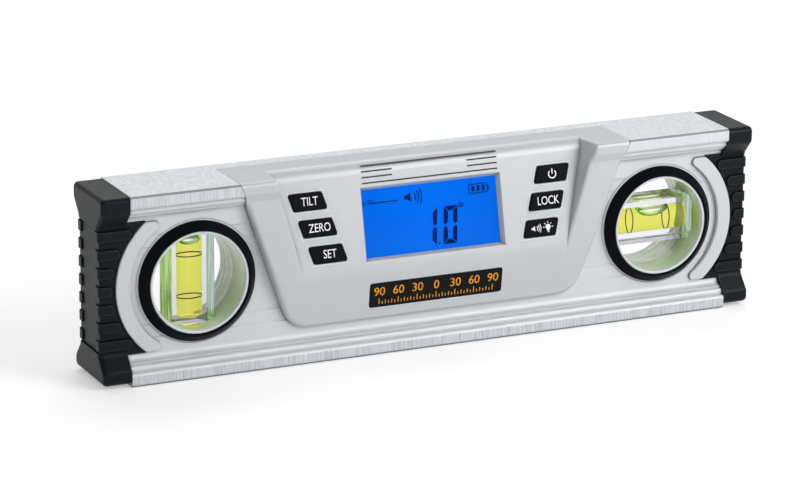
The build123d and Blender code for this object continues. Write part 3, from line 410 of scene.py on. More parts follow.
class Finish:
    """A node material with short ways to add and join nodes."""

    def __init__(self, name, **sockets):
        self.material = bpy.data.materials.new(name)
        self.material.use_nodes = True
        self.tree = self.material.node_tree
        self.shader = self.tree.nodes["Principled BSDF"]
        self.place = None
        for socket, value in sockets.items():
            self.into(value, socket.replace("_", " "))

    def put(self, value, node, socket):
        """Joins an output to a socket, or sets a plain value, where a colour gets full alpha."""
        entry = node.inputs[socket]
        if isinstance(value, bpy.types.NodeSocket):
            self.tree.links.new(value, entry)
        else:
            entry.default_value = (*value, 1.0) if entry.type == "RGBA" else value

    def into(self, value, socket):
        """Joins a value to the shader."""
        self.put(value, self.shader, socket)

    def add(self, kind, options=None, **sockets):
        """Adds a node with its options and the values of its sockets, where i and a number give a place."""
        node = self.tree.nodes.new("ShaderNode" + kind)
        for key, value in (options or {}).items():
            setattr(node, key, value)
        for socket, value in sockets.items():
            numbered = socket[0] == "i" and socket[1:].isdigit()
            self.put(value, node, int(socket[1:]) if numbered else socket.replace("_", " "))
        return node

    def here(self):
        """Object coordinates, in metres."""
        if self.place is None:
            self.place = self.add("TexCoord").outputs["Object"]
        return self.place

    def axes(self, vector=None):
        """Object coordinates, or another vector, as three numbers."""
        return self.add("SeparateXYZ", Vector=vector or self.here()).outputs

    def stretched(self, x, y, z, turn=0.0):
        """Object coordinates scaled to cells per metre along each axis, then turned about the depth."""
        node = self.add("Mapping", Vector=self.here(), Scale=(x, y, z), Rotation=(0.0, turn, 0.0))
        return node.outputs["Vector"]

    def noise(self, vector=None, scale=1.0, detail=3.0, rough=0.6):
        """Height of a noise at a place."""
        place = vector or self.here()
        return self.add("TexNoise", Vector=place, Scale=scale, Detail=detail, Roughness=rough).outputs["Fac"]

    def math(self, operation, first, second=0.0, clamp=False):
        """One sum on one or two values."""
        return self.add("Math", {"operation": operation, "use_clamp": clamp}, i0=first, i1=second).outputs[0]

    def size(self, value):
        """A value without its sign."""
        return self.math("ABSOLUTE", value)

    def squares(self, first, second):
        """Sum of two squares."""
        return self.math("ADD", self.math("POWER", first, 2.0), self.math("POWER", second, 2.0))

    def outside(self, value, low, high):
        """1 where a value is under a low limit or over a high one."""
        under = self.math("LESS_THAN", value, low)
        return self.math("MAXIMUM", self.math("GREATER_THAN", value, high), under)

    def span(self, value, low, high, to_low=0.0, to_high=1.0):
        """A value mapped from one span to another, held at the ends."""
        ends = {"From_Min": low, "From_Max": high, "To_Min": to_low, "To_Max": to_high}
        return self.add("MapRange", Value=value, **ends).outputs["Result"]

    def between(self, part, first, second):
        """A number between two others."""
        return self.add("Mix", {"data_type": "FLOAT"}, i0=part, i2=first, i3=second).outputs[0]

    def blend(self, part, first, second, way="MIX"):
        """A colour between two others."""
        kind = {"data_type": "RGBA", "blend_type": way}
        return self.add("Mix", kind, i0=part, i6=first, i7=second).outputs[2]

    def shades(self, part, rgb, dark, light):
        """A colour between a darker and a lighter shade of itself."""
        return self.blend(part, tinted(rgb, dark), tinted(rgb, light))

    def crease(self, reach):
        """How far a place lies in a crease narrower than a reach, as a mask for painted shade."""
        shut, clear = 0.3, 0.92
        sky = self.add("AmbientOcclusion", {"samples": RAYS}, Distance=reach).outputs["AO"]
        return self.span(sky, shut, clear, to_low=1.0, to_high=0.0)

    def ridge(self, reach):
        """How near a place lies to an outer edge, within a reach, as a mask for painted highlights."""
        sharp, blunt = 0.45, 0.85
        core = self.add("AmbientOcclusion", {"samples": RAYS, "inside": True}, Distance=reach)
        return self.span(core.outputs["AO"], sharp, blunt, to_low=1.0, to_high=0.0)

    def creased(self, base, reach, left):
        """Painted shade: a colour that keeps only a share of itself in creases narrower than a reach."""
        return self.blend(self.crease(reach), base, (left, left, left), "MULTIPLY")

    def gloss(self, height, roughness, swing):
        """A roughness that swings about its middle with the height of a noise."""
        low, high = 0.2, 0.8
        return self.span(height, low, high, roughness - swing, roughness + swing)

    def bump(self, height, strength, depth, edge=0.0):
        """Normal of a fine relief, on edges that are softened over a small radius where asked."""
        node = self.add("Bump", Height=height, Strength=strength, Distance=depth)
        if edge:
            self.put(self.add("Bevel", {"samples": RAYS}, Radius=edge).outputs[0], node, "Normal")
        return node.outputs["Normal"]

    def waves(self):
        """Normal of polished plastic with very faint waves."""
        return self.bump(self.noise(scale=90.0, detail=1.0), strength=0.04, depth=0.05 * MM)

    def lit_glass(self, glow, strength, **glass):
        """The material as polished glass that also gives off a little light."""
        clear = self.add("BsdfGlass", Roughness=0.0, **glass).outputs[0]
        light = self.add("Emission", Color=glow, Strength=strength).outputs[0]
        both = self.add("AddShader", i0=clear, i1=light).outputs[0]
        self.tree.links.new(both, self.tree.nodes["Material Output"].inputs["Surface"])
        self.tree.nodes.remove(self.shader)
        return self.material


def tinted(rgb, factor):
    """A colour made lighter or darker by a factor."""
    return tuple(min(1.0, c * factor) for c in rgb)


def moulded(
    name, rgb, roughness, grain, strength, edge=0.15 * MM, spread=0.05, crease=0.0, edge_highlight=0.0, **sockets
):
    """Moulded plastic: fine grain, slight clouding of colour and gloss; where asked, a painted highlight
    lightens its edges and painted shade darkens its creases.
    """
    finish = Finish(name, **sockets)
    fine = finish.noise(scale=grain)
    cloud = finish.noise(scale=60.0, detail=2.0)
    base = finish.shades(cloud, rgb, dark=1 - spread, light=1 + spread)
    # painted highlight: outer edges turn lighter, as where they catch the light
    if edge_highlight:
        base = finish.blend(finish.ridge(reach=0.7 * MM), base, tinted(rgb, 1 + edge_highlight))
    # painted shade: with a crease reach, creases keep only a share of the colour
    finish.into(finish.creased(base, crease, left=0.22) if crease else base, "Base Color")
    finish.into(finish.gloss(fine, roughness, swing=0.06), "Roughness")
    finish.into(finish.bump(fine, strength, depth=0.03 * MM, edge=edge), "Normal")
    return finish.material


def cap_finish(colours):
    """Black moulded plastic with a painted highlight that lightens its edges and painted shade in its
    creases, which go black, as a black metal has no gloss.
    """
    finish = Finish("cap_black", Specular_Tint=(0.80, 0.93, 1.0), Specular_IOR_Level=0.17)
    fine = finish.noise(scale=1800.0)
    base = finish.shades(finish.noise(scale=90.0), colours.cap, dark=0.8, light=1.2)
    # painted highlight on the edges
    base = finish.blend(finish.ridge(reach=0.6 * MM), base, colours.cap_edge)
    # painted shade: creases go black in colour and gloss
    crease = finish.crease(reach=1.8 * MM)
    finish.into(finish.blend(crease, base, (0.0, 0.0, 0.0)), "Base Color")
    finish.into(crease, "Metallic")
    dull, gloss = 0.9, finish.gloss(fine, roughness=0.39, swing=0.07)
    finish.into(finish.between(crease, gloss, dull), "Roughness")
    finish.into(finish.bump(fine, strength=0.2, depth=0.03 * MM, edge=0.25 * MM), "Normal")
    return finish.material


def cutter_marks(finish, rgb, painted_sheen):
    """Milled strip: colour, height and cuts of bunched streaks and thin slanted lines, which give way in
    part to a lighter plain colour, a painted sheen.
    """
    cuts = finish.noise(finish.stretched(2300, 50, 50), detail=2.0, rough=0.7)
    bunch = finish.noise(finish.stretched(230, 15, 15), detail=2.0)
    bunch = finish.span(bunch, 0.35, 0.65, to_low=0.5, to_high=1.0)
    height = finish.math("ADD", 0.5, finish.math("MULTIPLY", bunch, finish.math("SUBTRACT", cuts, 0.5)))
    slant = finish.noise(finish.stretched(1500, 30, 30, turn=0.16), detail=1.5)
    swing = finish.size(finish.math("SUBTRACT", slant, 0.5))
    thin = finish.span(finish.math("DIVIDE", swing, bunch), 0.005, 0.06)
    streaks = finish.shades(finish.span(height, 0.36, 0.64), rgb, dark=1.0, light=1.19)
    lines = finish.blend(thin, tinted(rgb, 0.78), streaks)
    # painted sheen: a lighter plain colour where the sheen mask is high
    return finish.blend(painted_sheen, lines, tinted(rgb, 1.12)), height, cuts


def bar_finish(colours):
    """Satin anodised aluminium: strips, top and sole are milled across; painted shade darkens the broken
    edges between them and the creases, and a painted sheen lightens the right end of the upper strip.
    """
    finish = Finish("bar_aluminium")
    low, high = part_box("aluminium_beam")
    skin, broken = 0.08 * MM, 0.86 * MM
    sheen_from, sheen_to, sheen_share = 40 * MM, 70 * MM, 0.65
    axes = finish.axes()
    out = finish.size(axes["Y"])

    strip = finish.math("GREATER_THAN", out, high.y - skin)
    level = finish.outside(axes["Z"], low.z + skin, high.z - skin)
    milled = finish.math("MAXIMUM", strip, level)
    # painted shade: the broken edges beside the milled faces are darkened to half the milled colour, for the
    # dark they reflect
    ends = finish.outside(axes["Z"], low.z + broken, high.z - broken)
    edge = finish.math("MULTIPLY", finish.math("GREATER_THAN", out, high.y - broken), ends)
    edge = finish.math("MULTIPLY", edge, finish.math("SUBTRACT", 1.0, milled))
    # painted sheen: the upper strip turns lighter and plainer towards the right end, as where it reflects
    # the light
    upper = finish.math("GREATER_THAN", axes["Z"], (low.z + high.z) / 2)
    painted_sheen = finish.math("MULTIPLY", upper, finish.span(axes["X"], sheen_from, sheen_to, to_high=sheen_share))

    lines, streak, cuts = cutter_marks(finish, colours.milled, painted_sheen)
    speckle = finish.noise(finish.stretched(1100, 240, 1100), rough=0.7)
    flat = finish.shades(finish.span(speckle, 0.34, 0.66), colours.level_face, dark=0.86, light=1.09)
    grain = finish.noise(scale=2000.0, rough=0.7)
    drawn = finish.noise(finish.stretched(14, 60, 900))
    satin = finish.shades(finish.between(0.5, grain, drawn), colours.aluminium, dark=0.9, light=1.08)
    base = finish.blend(level, finish.blend(strip, satin, lines), flat)
    base = finish.blend(edge, base, tinted(colours.milled, 0.5))
    satin_rough, milled_rough, satin_metal, strip_metal = 0.46, 0.36, 0.2, 0.5
    rough = finish.between(milled, satin_rough, milled_rough)
    rough = finish.math("ADD", rough, finish.span(cuts, 0.0, 1.0, to_low=-0.05, to_high=0.08))
    # painted shade: creases keep 55 % of the colour
    finish.into(finish.creased(base, reach=1.6 * MM, left=0.55), "Base Color")
    finish.into(finish.between(strip, satin_metal, strip_metal), "Metallic")
    finish.into(rough, "Roughness")
    height = finish.between(strip, grain, streak)
    finish.into(finish.bump(height, strength=0.28, depth=0.05 * MM, edge=0.12 * MM), "Normal")
    return finish.material


def lining_finish(colours):
    """Smooth pale plastic: white rims; painted shade on a front half whose wall darkens towards the middle
    of the bore; a greener rear half; a parting line between, painted as a light line, a painted highlight;
    painted lime light beside the vials.
    """
    finish = Finish("lining_pale")
    half_shell = "vial_holder_right_front"
    centre = middle_and_half(half_shell)[0]
    front = -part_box(half_shell)[0].y
    spread = node_points(half_shell) - centre
    bore = np.hypot(spread[:, 0], spread[:, 2]).min()
    glow_far, glow_near, seam_highlight, step = 8.5 * MM, 3.5 * MM, 0.12 * MM, 0.5 * MM
    shade_from, shade_to, rim_from, rim_to = 1.0 * MM, 9.0 * MM, front - 2.6 * MM, front - 1.4 * MM
    axes = finish.axes()
    out = finish.size(axes["Y"])

    flow = finish.noise(finish.stretched(70, 420, 70))
    deep = finish.shades(finish.span(flow, 0.32, 0.68), colours.holder_deep, dark=0.6, light=1.35)
    # painted shade: the front half of the wall darkens from the front towards the middle of the bore
    front_wall_shade = finish.shades(finish.span(out, shade_from, shade_to), colours.holder, dark=0.9, light=1.3)
    wall = finish.blend(finish.math("GREATER_THAN", axes["Y"], 0.0), front_wall_shade, deep)

    beside = finish.size(finish.math("ADD", axes["X"], centre[0]))
    above = finish.size(finish.math("SUBTRACT", axes["Z"], centre[2]))
    near = finish.between(finish.math("GREATER_THAN", axes["X"], 0.0), beside, above)
    wall = finish.blend(finish.span(near, glow_far, glow_near, to_high=0.75), wall, colours.glow)
    # painted highlight: a light line along the parting line between the two halves
    wall = finish.blend(finish.math("LESS_THAN", out, seam_highlight), wall, tinted(colours.holder, 1.7))

    across = finish.math("SUBTRACT", finish.size(axes["X"]), centre[0])
    ring = finish.math("SQRT", finish.squares(across, above))
    flange = finish.math("GREATER_THAN", ring, bore + step)
    rim = finish.math("MAXIMUM", flange, finish.span(out, rim_from, rim_to))
    finish.into(finish.blend(rim, wall, colours.holder_rim), "Base Color")
    finish.into(finish.gloss(flow, roughness=0.25, swing=0.09), "Roughness")
    finish.into(finish.bump(flow, strength=0.10, depth=0.08 * MM, edge=0.15 * MM), "Normal")
    return finish.material


def pane_finish(colours):
    """Clear polished pane that tints what shows through it."""
    finish = Finish("display_pane", Roughness=0.0, IOR=1.16, Transmission_Weight=1.0)
    finish.into(colours.pane, "Base Color")
    finish.into(finish.waves(), "Normal")
    return finish.material


def acrylic_finish(colours):
    """Clear acrylic whose left and right faces carry a painted reflection, a grey-blue tint, and gather a
    little of the liquid's light as a painted glow.
    """
    finish = Finish("clear_acrylic")
    facing = finish.axes(finish.add("NewGeometry").outputs["True Normal"])["X"]
    side = finish.math("GREATER_THAN", finish.size(facing), 0.5)
    # painted reflection on the side faces
    tint = finish.blend(side, colours.acrylic, colours.acrylic_side)
    streaks = finish.noise(finish.stretched(500, 900, 60), detail=2.0)
    streaks = finish.span(streaks, 0.38, 0.62, to_low=0.22, to_high=0.68)
    left_more = finish.span(facing, -0.5, 0.5, to_low=1.0, to_high=0.35)
    gathered = finish.math("MULTIPLY", side, left_more)
    strength = finish.math("MULTIPLY", gathered, streaks)
    return finish.lit_glass(colours.acrylic_glow, strength, Color=tint, Normal=finish.waves(), IOR=1.47)


def liquid_finish(colours, centre, bore, upright):
    """Tinted liquid, yellow in the middle of its bore; painted shading makes it greener at its sides."""
    finish = Finish("tinted_liquid", Roughness=0.0, IOR=1.03, Transmission_Weight=1.0)
    axis = 0 if upright else 2
    across = finish.size(finish.math("SUBTRACT", finish.axes()[axis], centre[axis]))
    swirl = finish.span(finish.noise(scale=160.0, detail=2.0), 0.3, 0.7, to_low=-0.15, to_high=0.15)
    # painted shading: greener towards the sides of the bore
    side = finish.math("ADD", finish.span(across, 0.3 * bore, bore), swirl, clamp=True)
    finish.into(finish.blend(side, colours.liquid, colours.liquid_edge), "Base Color")
    return finish.material


def air_finish(colours, middle, wide, tall):
    """Air inside a liquid, which bends light the other way; painted so: a pale tint and a painted glow in
    its middle, painted shade in dark green at its rim.
    """
    finish = Finish("vial_air")
    place = {"Location": tuple(middle), "Scale": (wide, 1.0, tall)}
    away = finish.add("Mapping", {"vector_type": "TEXTURE"}, Vector=finish.here(), **place)
    axes = finish.axes(away.outputs["Vector"])
    # painted shade at the rim, painted glow in the middle
    rim = finish.span(finish.squares(axes["X"], axes["Z"]), 0.25, 0.75)
    tint = finish.blend(rim, colours.bubble, colours.bubble_rim)
    shine = finish.span(rim, 0.0, 1.0, to_low=0.75, to_high=0.0)
    return finish.lit_glass(colours.bubble_shine, shine, Color=tint, IOR=0.76)


def lit_finish(colours):
    """Backlit display: an even glow that falls off a little towards its edges, over a fine dot pattern."""
    low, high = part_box("lcd_panel")
    finish = Finish("lit_display", Roughness=0.5, Specular_IOR_Level=0.0, Emission_Strength=1.0)
    finish.into(tinted(colours.lit, 0.1), "Base Color")
    axes = finish.axes()
    side = finish.span(finish.size(axes["X"]), 0.0, high.x, to_low=1.0, to_high=0.86)
    rise = finish.span(axes["Z"], low.z, high.z, to_low=0.94, to_high=1.04)
    dots = finish.span(finish.noise(scale=5000.0, detail=1.0), 0.3, 0.7, to_low=0.97, to_high=1.03)
    level = finish.math("MULTIPLY", finish.math("MULTIPLY", side, rise), dots)
    finish.into(finish.blend(level, (0.0, 0.0, 0.0), colours.lit), "Emission Color")
    return finish.material


def metal(name, rgb, roughness):
    """Bare metal with fine drawn lines."""
    finish = Finish(name, Metallic=1.0)
    lines = finish.noise(finish.stretched(1500, 60, 60))
    finish.into(finish.shades(lines, rgb, dark=0.85, light=1.1), "Base Color")
    finish.into(finish.gloss(lines, roughness, swing=0.08), "Roughness")
    finish.into(finish.bump(lines, strength=0.15, depth=0.02 * MM), "Normal")
    return finish.material


def printed(name, rgb, roughness=0.45, **sockets):
    """Printing ink with a slight unevenness."""
    finish = Finish(name, **sockets)
    fine = finish.noise(scale=3000.0, detail=2.0)
    finish.into(finish.shades(fine, rgb, dark=0.93, light=1.05), "Base Color")
    finish.into(finish.gloss(fine, roughness, swing=0.05), "Roughness")
    return finish.material


def dress(finish, *nodes):
    """Gives a finish to CAD nodes, in place of their plain one."""
    for node in nodes:
        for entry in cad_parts[node].material_slots:
            entry.material = finish


def settings():
    """The three property groups of the scene."""
    scene = bpy.context.scene
    return scene.level_sizes, scene.level_colours, scene.level_studio


# Bar, caps and windows


class LEVEL_OT_bar(Operator):
    """Aluminium bar with its milled edges, and the magnets in its sole"""

    bl_idname = "level.bar"
    bl_label = "Bar"

    def execute(self, context):
        colours = settings()[1]
        dress(bar_finish(colours), "aluminium_beam")
        dress(metal("magnet_nickel", colours.magnet, roughness=0.3), "base_magnets")
        return {"FINISHED"}


class LEVEL_OT_caps(Operator):
    """Black end caps and the pale crescents beside them"""

    bl_idname = "level.caps"
    bl_label = "End caps and trim"

    def execute(self, context):
        colours = settings()[1]
        dress(cap_finish(colours), *["end_cap_" + side for side in SIDES])
        # painted shade darkens the creases of the trim
        grey = moulded(
            "trim_grey", colours.trim, roughness=0.42, grain=2500.0, strength=0.08,
            edge=0.3 * MM, spread=0.03, crease=1.2 * MM,
        )
        dress(grey, *["arc_trim_" + side for side in SIDES])
        return {"FINISHED"}


class LEVEL_OT_windows(Operator):
    """Black rings and pale linings of the two windows, front and rear"""

    bl_idname = "level.windows"
    bl_label = "Windows"

    def execute(self, context):
        colours = settings()[1]
        ends = [side + "_" + face for side in SIDES for face in ("front", "rear")]
        black = moulded(
            "ring_black", colours.bezel, roughness=0.36, grain=2200.0, strength=0.06, Specular_IOR_Level=0.04
        )
        dress(black, *["vial_bezel_" + end for end in ends])
        dress(lining_finish(colours), *["vial_holder_" + end for end in ends])
        return {"FINISHED"}


# Vials


def filled_profile(half, bore, rounding=1.6 * MM, count=10):
    """Profile of a filled bore, closed on its axis: a straight side between two ends with quarter arcs."""
    angle = np.linspace(0, math.pi / 2, count)
    radius = bore - rounding + rounding * np.sin(angle)
    height = half - rounding + rounding * np.cos(angle)
    end = np.vstack(([0, half], np.column_stack((radius, height))))
    return np.vstack((end, end[::-1] * [1, -1]))


def squat_profile(half, radius, count=33):
    """Profile of a squat bubble: radius = r sin(a) ^ 0.7 and height = h cos(a), closed on its axis."""
    angle = np.linspace(0, math.pi, count)
    profile = np.column_stack((radius * np.sin(angle) ** 0.7, half * np.cos(angle)))
    profile[[0, -1], 0] = 0
    return profile


def pressed_bubble(middle, half, depth, bore, chord_share=0.6, rows=41, columns=17):
    """A bubble under the top of a level bore, over its length t and its width u, both from -1 to 1.

    Its section is a chord of the bore, c deep and w = sqrt(2 bore c - c^2) to each side, that sags below
    the chord by s; c and s are shares of the depth and shrink towards both ends with (1 - t^2) ^ 0.45.
    """
    t = np.sin(np.linspace(-math.pi / 2, math.pi / 2, rows))[:, None]
    u = np.linspace(-1, 1, columns)[None, :]
    shrink = np.clip(1 - t**2, 0, None) ** 0.45
    chord, sag = chord_share * depth * shrink, (1 - chord_share) * depth * shrink
    wide = np.sqrt(2 * bore * chord - chord**2)
    above = np.sqrt(bore**2 - (wide * u) ** 2)
    below = bore - chord - sag * (1 - u**2)
    across = np.concatenate((wide * u, wide * u[:, ::-1][:, 1:-1]), axis=1)
    height = np.concatenate((above, below[:, ::-1][:, 1:-1]), axis=1)
    along = np.broadcast_to(half * t, across.shape)
    points = middle + np.stack((along, across, height), axis=-1).reshape(-1, 3)
    return points, grid_faces(rows, across.shape[1])


def clear_block(centre, half, axis, cut):
    """A block with chamfered edges: an outline with cut corners, carried along and drawn in at its ends."""
    first, second = axes_about(axis)
    end = half @ axis
    stations = [(-end, cut), (cut - end, 0), (end - cut, 0), (end, cut)]
    return carried(cut_corners(abs(half @ first), abs(half @ second), cut), stations, centre, axis)


def mark_ring(centre, axis, bore, at, width, clearance=0.02 * MM, thickness=0.05 * MM):
    """A closed band round the liquid: four corners of radius and place, turned about the axis."""
    inner, outer = bore + clearance, bore + clearance + thickness
    low, high = at - width / 2, at + width / 2
    return turned([(inner, low), (outer, low), (outer, high), (inner, high)], centre, axis, closed=True)


class LEVEL_OT_vials(Operator):
    """Clear blocks with their liquid, bubbles and marks"""

    bl_idname = "level.vials"
    bl_label = "Vials"

    def execute(self, context):
        sizes, colours, _ = settings()
        acrylic = acrylic_finish(colours)
        ink = printed("mark_ink", colours.mark)
        for side in SIDES:
            upright = side == "left"
            axis = UP if upright else RIGHT
            centre, half = middle_and_half("vial_block_" + side)
            block = clear_block(centre, half, axis, sizes.block_chamfer)
            nodes = ["vial_block_" + side, "vial_plug_" + side]
            piece("clear_block_" + side, *block, "frame", "vial_acrylic", acrylic, nodes)

            half = middle_and_half("vial_liquid_" + side)[1]
            bore = sizes.bore_share * half[1]
            tint = liquid_finish(colours, centre, bore, upright)
            filling = turned(filled_profile(half @ axis, bore), centre, axis)
            piece("liquid_" + side, *filling, "frame", "vial_liquid", tint, ["vial_liquid_" + side])

            places = (-sizes.mark_half, sizes.mark_half)
            rings = [mark_ring(centre, axis, bore, at, sizes.mark_width) for at in places]
            piece("marks_" + side, *joined(rings), "frame", "vial_liquid", ink)

            if upright:
                body, (bubble, air) = "bubble_plumb", self.plumb_bubble(colours)
            else:
                body, (bubble, air) = "bubble_level", self.level_bubble(colours, centre, bore)
            piece("bubble_" + side, *bubble, body, "vial_air", air, ["vial_bubble_" + side])
        return {"FINISHED"}

    def plumb_bubble(self, colours):
        """Surface and finish of the squat bubble at the top of the upright vial."""
        middle, half = middle_and_half("vial_bubble_left")
        air = air_finish(colours, middle, half[0], half[2])
        return turned(squat_profile(half[2], half[1]), middle, UP), air

    def level_bubble(self, colours, centre, bore, clearance=0.1 * MM):
        """Surface and finish of the long bubble, pressed against the top of the level vial."""
        middle, half = middle_and_half("vial_bubble_right")
        depth = 2 * half[2]
        on_axis = np.array([middle[0], middle[1], centre[2]])
        air = air_finish(colours, on_axis + bore * UP, half[0], depth)
        return pressed_bubble(on_axis, half[0], depth, bore - clearance), air


# Module


class LEVEL_OT_housing(Operator):
    """Silver housing, its battery door and the printed lines above the display"""

    bl_idname = "level.housing"
    bl_label = "Housing"

    def execute(self, context):
        sizes, colours, _ = settings()
        # painted shade darkens the housing's creases and a painted highlight lightens its edges
        silver = moulded(
            "module_silver", colours.cover, roughness=0.38, grain=3200.0, strength=0.06,
            edge=0.5 * MM, spread=0.02, crease=2.6 * MM, edge_highlight=0.4, Metallic=0.15,
        )
        dress(silver, "front_cover", "rear_cover", "battery_door")
        ink = printed("line_ink", colours.line)
        face = front_face("display_window")
        reach, gap = sizes.stripe_half, sizes.stripe_gap
        whole, parted = [(-reach, reach)], [(-reach, -gap), (gap, reach)]
        lines = []
        for number, spans in enumerate((whole, parted, parted, whole)):
            v = sizes.stripe_rise + number * sizes.stripe_pitch
            lines += [bar_outline((start, v), (stop, v), sizes.stripe_width) for start, stop in spans]
        prints = slabs(lines, face, sizes.pane_depth, sizes.print_lift)
        piece("display_lines", *prints, "frame", "cover", ink)
        return {"FINISHED"}


def seven_segment(left, base, sizes, lit, lean=0.10):
    """Outlines of the lit bars of one leaning digit: a and d lie across, b, c, e and f stand, all mitred."""
    width, height, s = sizes.digit_width, sizes.digit_height, sizes.digit_stroke
    right, top, mid, gap = left + width, base + height, base + height / 2, 0.1 * s

    def level(y, inner):
        """A bar across, from its outer to its inner edge."""
        return [(left + gap, y), (right - gap, y), (right - s - gap, inner), (left + s + gap, inner)]

    def post(x, inner, end, turn):
        """A standing bar from its mitred end to its pointed tip at half height."""
        tip = mid + gap * np.sign(end - mid)
        inner_foot, outer_foot = tip + 0.25 * (turn - tip), tip + 0.15 * (turn - tip)
        return [(x, end), (inner, turn), (inner, inner_foot), ((x + inner) / 2, tip), (x, outer_foot)]

    bars = {
        "a": level(top, top - s),
        "b": post(right, right - s, top - gap, top - s - gap),
        "c": post(right, right - s, base + gap, base + s + gap),
        "d": level(base, base + s),
        "e": post(left, left + s, base + gap, base + s + gap),
        "f": post(left, left + s, top - gap, top - s - gap),
    }
    outlines = []
    for name in lit:
        bar = np.array(bars[name])
        bar[:, 0] += lean * (bar[:, 1] - base)
        area = np.sum(bar[:, 0] * np.roll(bar[:, 1], -1) - bar[:, 1] * np.roll(bar[:, 0], -1))
        outlines.append(bar if area > 0 else bar[::-1])
    return outlines


def speaker_sign(centre, size):
    """A loudspeaker sign with three sound waves that grow to the right."""
    cone = [(-1.2, -0.5), (-0.5, -0.5), (0.5, -1.25), (0.5, 1.25), (-0.5, 0.5), (-1.2, 0.5)]
    signs = [np.array(cone) * size + centre]
    for step in (1, 2, 3):
        signs.append(bow(centre, (0.9 + 0.85 * step) * size, 0.34 * size, -33, 33, 13))
    return signs


def battery_sign(centre, width, height, stroke):
    """A battery sign: a frame of four strokes, a nub at its end and three bars inside."""
    x, y = centre
    w, h = width / 2, height / 2
    nub, nub_half, pitch, bar_half = x + w + stroke, h / 2.5, width / 3.6, 0.62 * h
    signs = [
        bar_outline((x - w, y - h), (x + w, y - h), stroke),
        bar_outline((x - w, y + h), (x + w, y + h), stroke),
        bar_outline((x - w, y - h), (x - w, y + h), stroke),
        bar_outline((x + w, y - h), (x + w, y + h), stroke),
        bar_outline((nub, y - nub_half), (nub, y + nub_half), 1.4 * stroke),
    ]
    for at in (x - pitch, x, x + pitch):
        signs.append(bar_outline((at, y - bar_half), (at, y + bar_half), width / 6))
    return signs


def lamp_sign(centre, size):
    """A lamp sign: a bulb on a stem with short rays above it."""
    x, y = centre
    half, neck, foot = 0.4 * size, y - 1.4 * size, y - 1.75 * size
    bulb = np.vstack((arc(centre, size, -50, 230, 25), [(x - half, neck), (x + half, neck)]))
    signs = [bulb, bar_outline((x - half, foot), (x + half, foot), 0.3 * size)]
    for way in arc((0, 0), size, 0, 180, 5):
        signs.append(bar_outline(centre + 1.4 * way, centre + 2.0 * way, 0.26 * size))
    return signs


class LEVEL_OT_display(Operator):
    """Clear pane, lit panel and what the panel shows"""

    bl_idname = "level.display"
    bl_label = "Display"

    def execute(self, context):
        sizes, colours, _ = settings()
        dress(pane_finish(colours), "display_window")
        dress(lit_finish(colours), "lcd_panel")
        white = moulded("diffuser_white", colours.diffuser, roughness=0.6, grain=2000.0, strength=0.05)
        dress(white, "backlight_panel")
        ink = printed("segment_ink", colours.digit, roughness=0.6, Specular_IOR_Level=0.0)
        face, lift = front_face("lcd_panel"), 0.01 * MM
        shown = slabs(self.reading(sizes) + self.signs(), face, lift, sizes.print_lift)
        piece("display_signs", *shown, "frame", "lcd", ink)
        return {"FINISHED"}

    def reading(self, sizes):
        """Outlines of the number, its point and its degree ring, from the middle of the panel."""
        foot, tens, ones = -10.4 * MM, -3.7 * MM, 4.3 * MM
        point = (2.75 * MM, foot + 0.45 * MM)
        degree = (12.3 * MM, foot + sizes.digit_height - 0.1 * MM)
        shown = seven_segment(ones, foot, sizes, "abcdef") + seven_segment(tens, foot, sizes, "bc")
        shown.append(arc(point, 0.42 * MM, 0, 360, 17)[:-1])
        return shown + ring_halves(degree, 0.62 * MM, stroke=0.46 * MM)

    def signs(self):
        """Outlines of the angle, sound and battery signs along the top of the panel."""
        row = 7.9 * MM
        corner, base_end, arm_end, base = -23.6 * MM, -11.8 * MM, -21.4 * MM, row - 0.9 * MM
        shown = [
            bar_outline((corner, base), (base_end, base), stroke=0.42 * MM),
            bar_outline((corner, row - 0.1 * MM), (arm_end, row + 0.1 * MM), stroke=0.36 * MM),
        ]
        shown += ring_halves((-25.1 * MM, base), 0.6 * MM, stroke=0.26 * MM)
        shown += speaker_sign((-7.6 * MM, row - 0.2 * MM), size=1.45 * MM)
        return shown + battery_sign((19.6 * MM, row + 0.1 * MM), 7.2 * MM, 3.2 * MM, stroke=0.36 * MM)


def key_rim(node, sizes):
    """A painted highlight on the console round one key: a light rim of four strokes outside the outline of
    its front face.
    """
    face = front_face(node)
    middle, across, up, outwards = face
    corners = node_points(node) - middle
    foremost = corners[corners @ outwards > -FLATNESS]
    u, v = foremost @ across, foremost @ up
    near_edge = 0.9
    top, low = u[v > near_edge * v.max()], u[v < near_edge * v.min()]
    grow = sizes.rim_gap
    inner = np.array([
        (low.min() - grow, v.min() - grow), (low.max() + grow, v.min() - grow),
        (top.max() + grow, v.max() + grow), (top.min() - grow, v.max() + grow),
    ])
    outer = inner * (1 + sizes.rim_width / np.abs(inner).max(axis=0))
    strokes = [np.array([inner[i], inner[i - 1], outer[i - 1], outer[i]])[::-1] for i in range(4)]
    return slabs(strokes, face, -sizes.key_proud, sizes.print_lift)


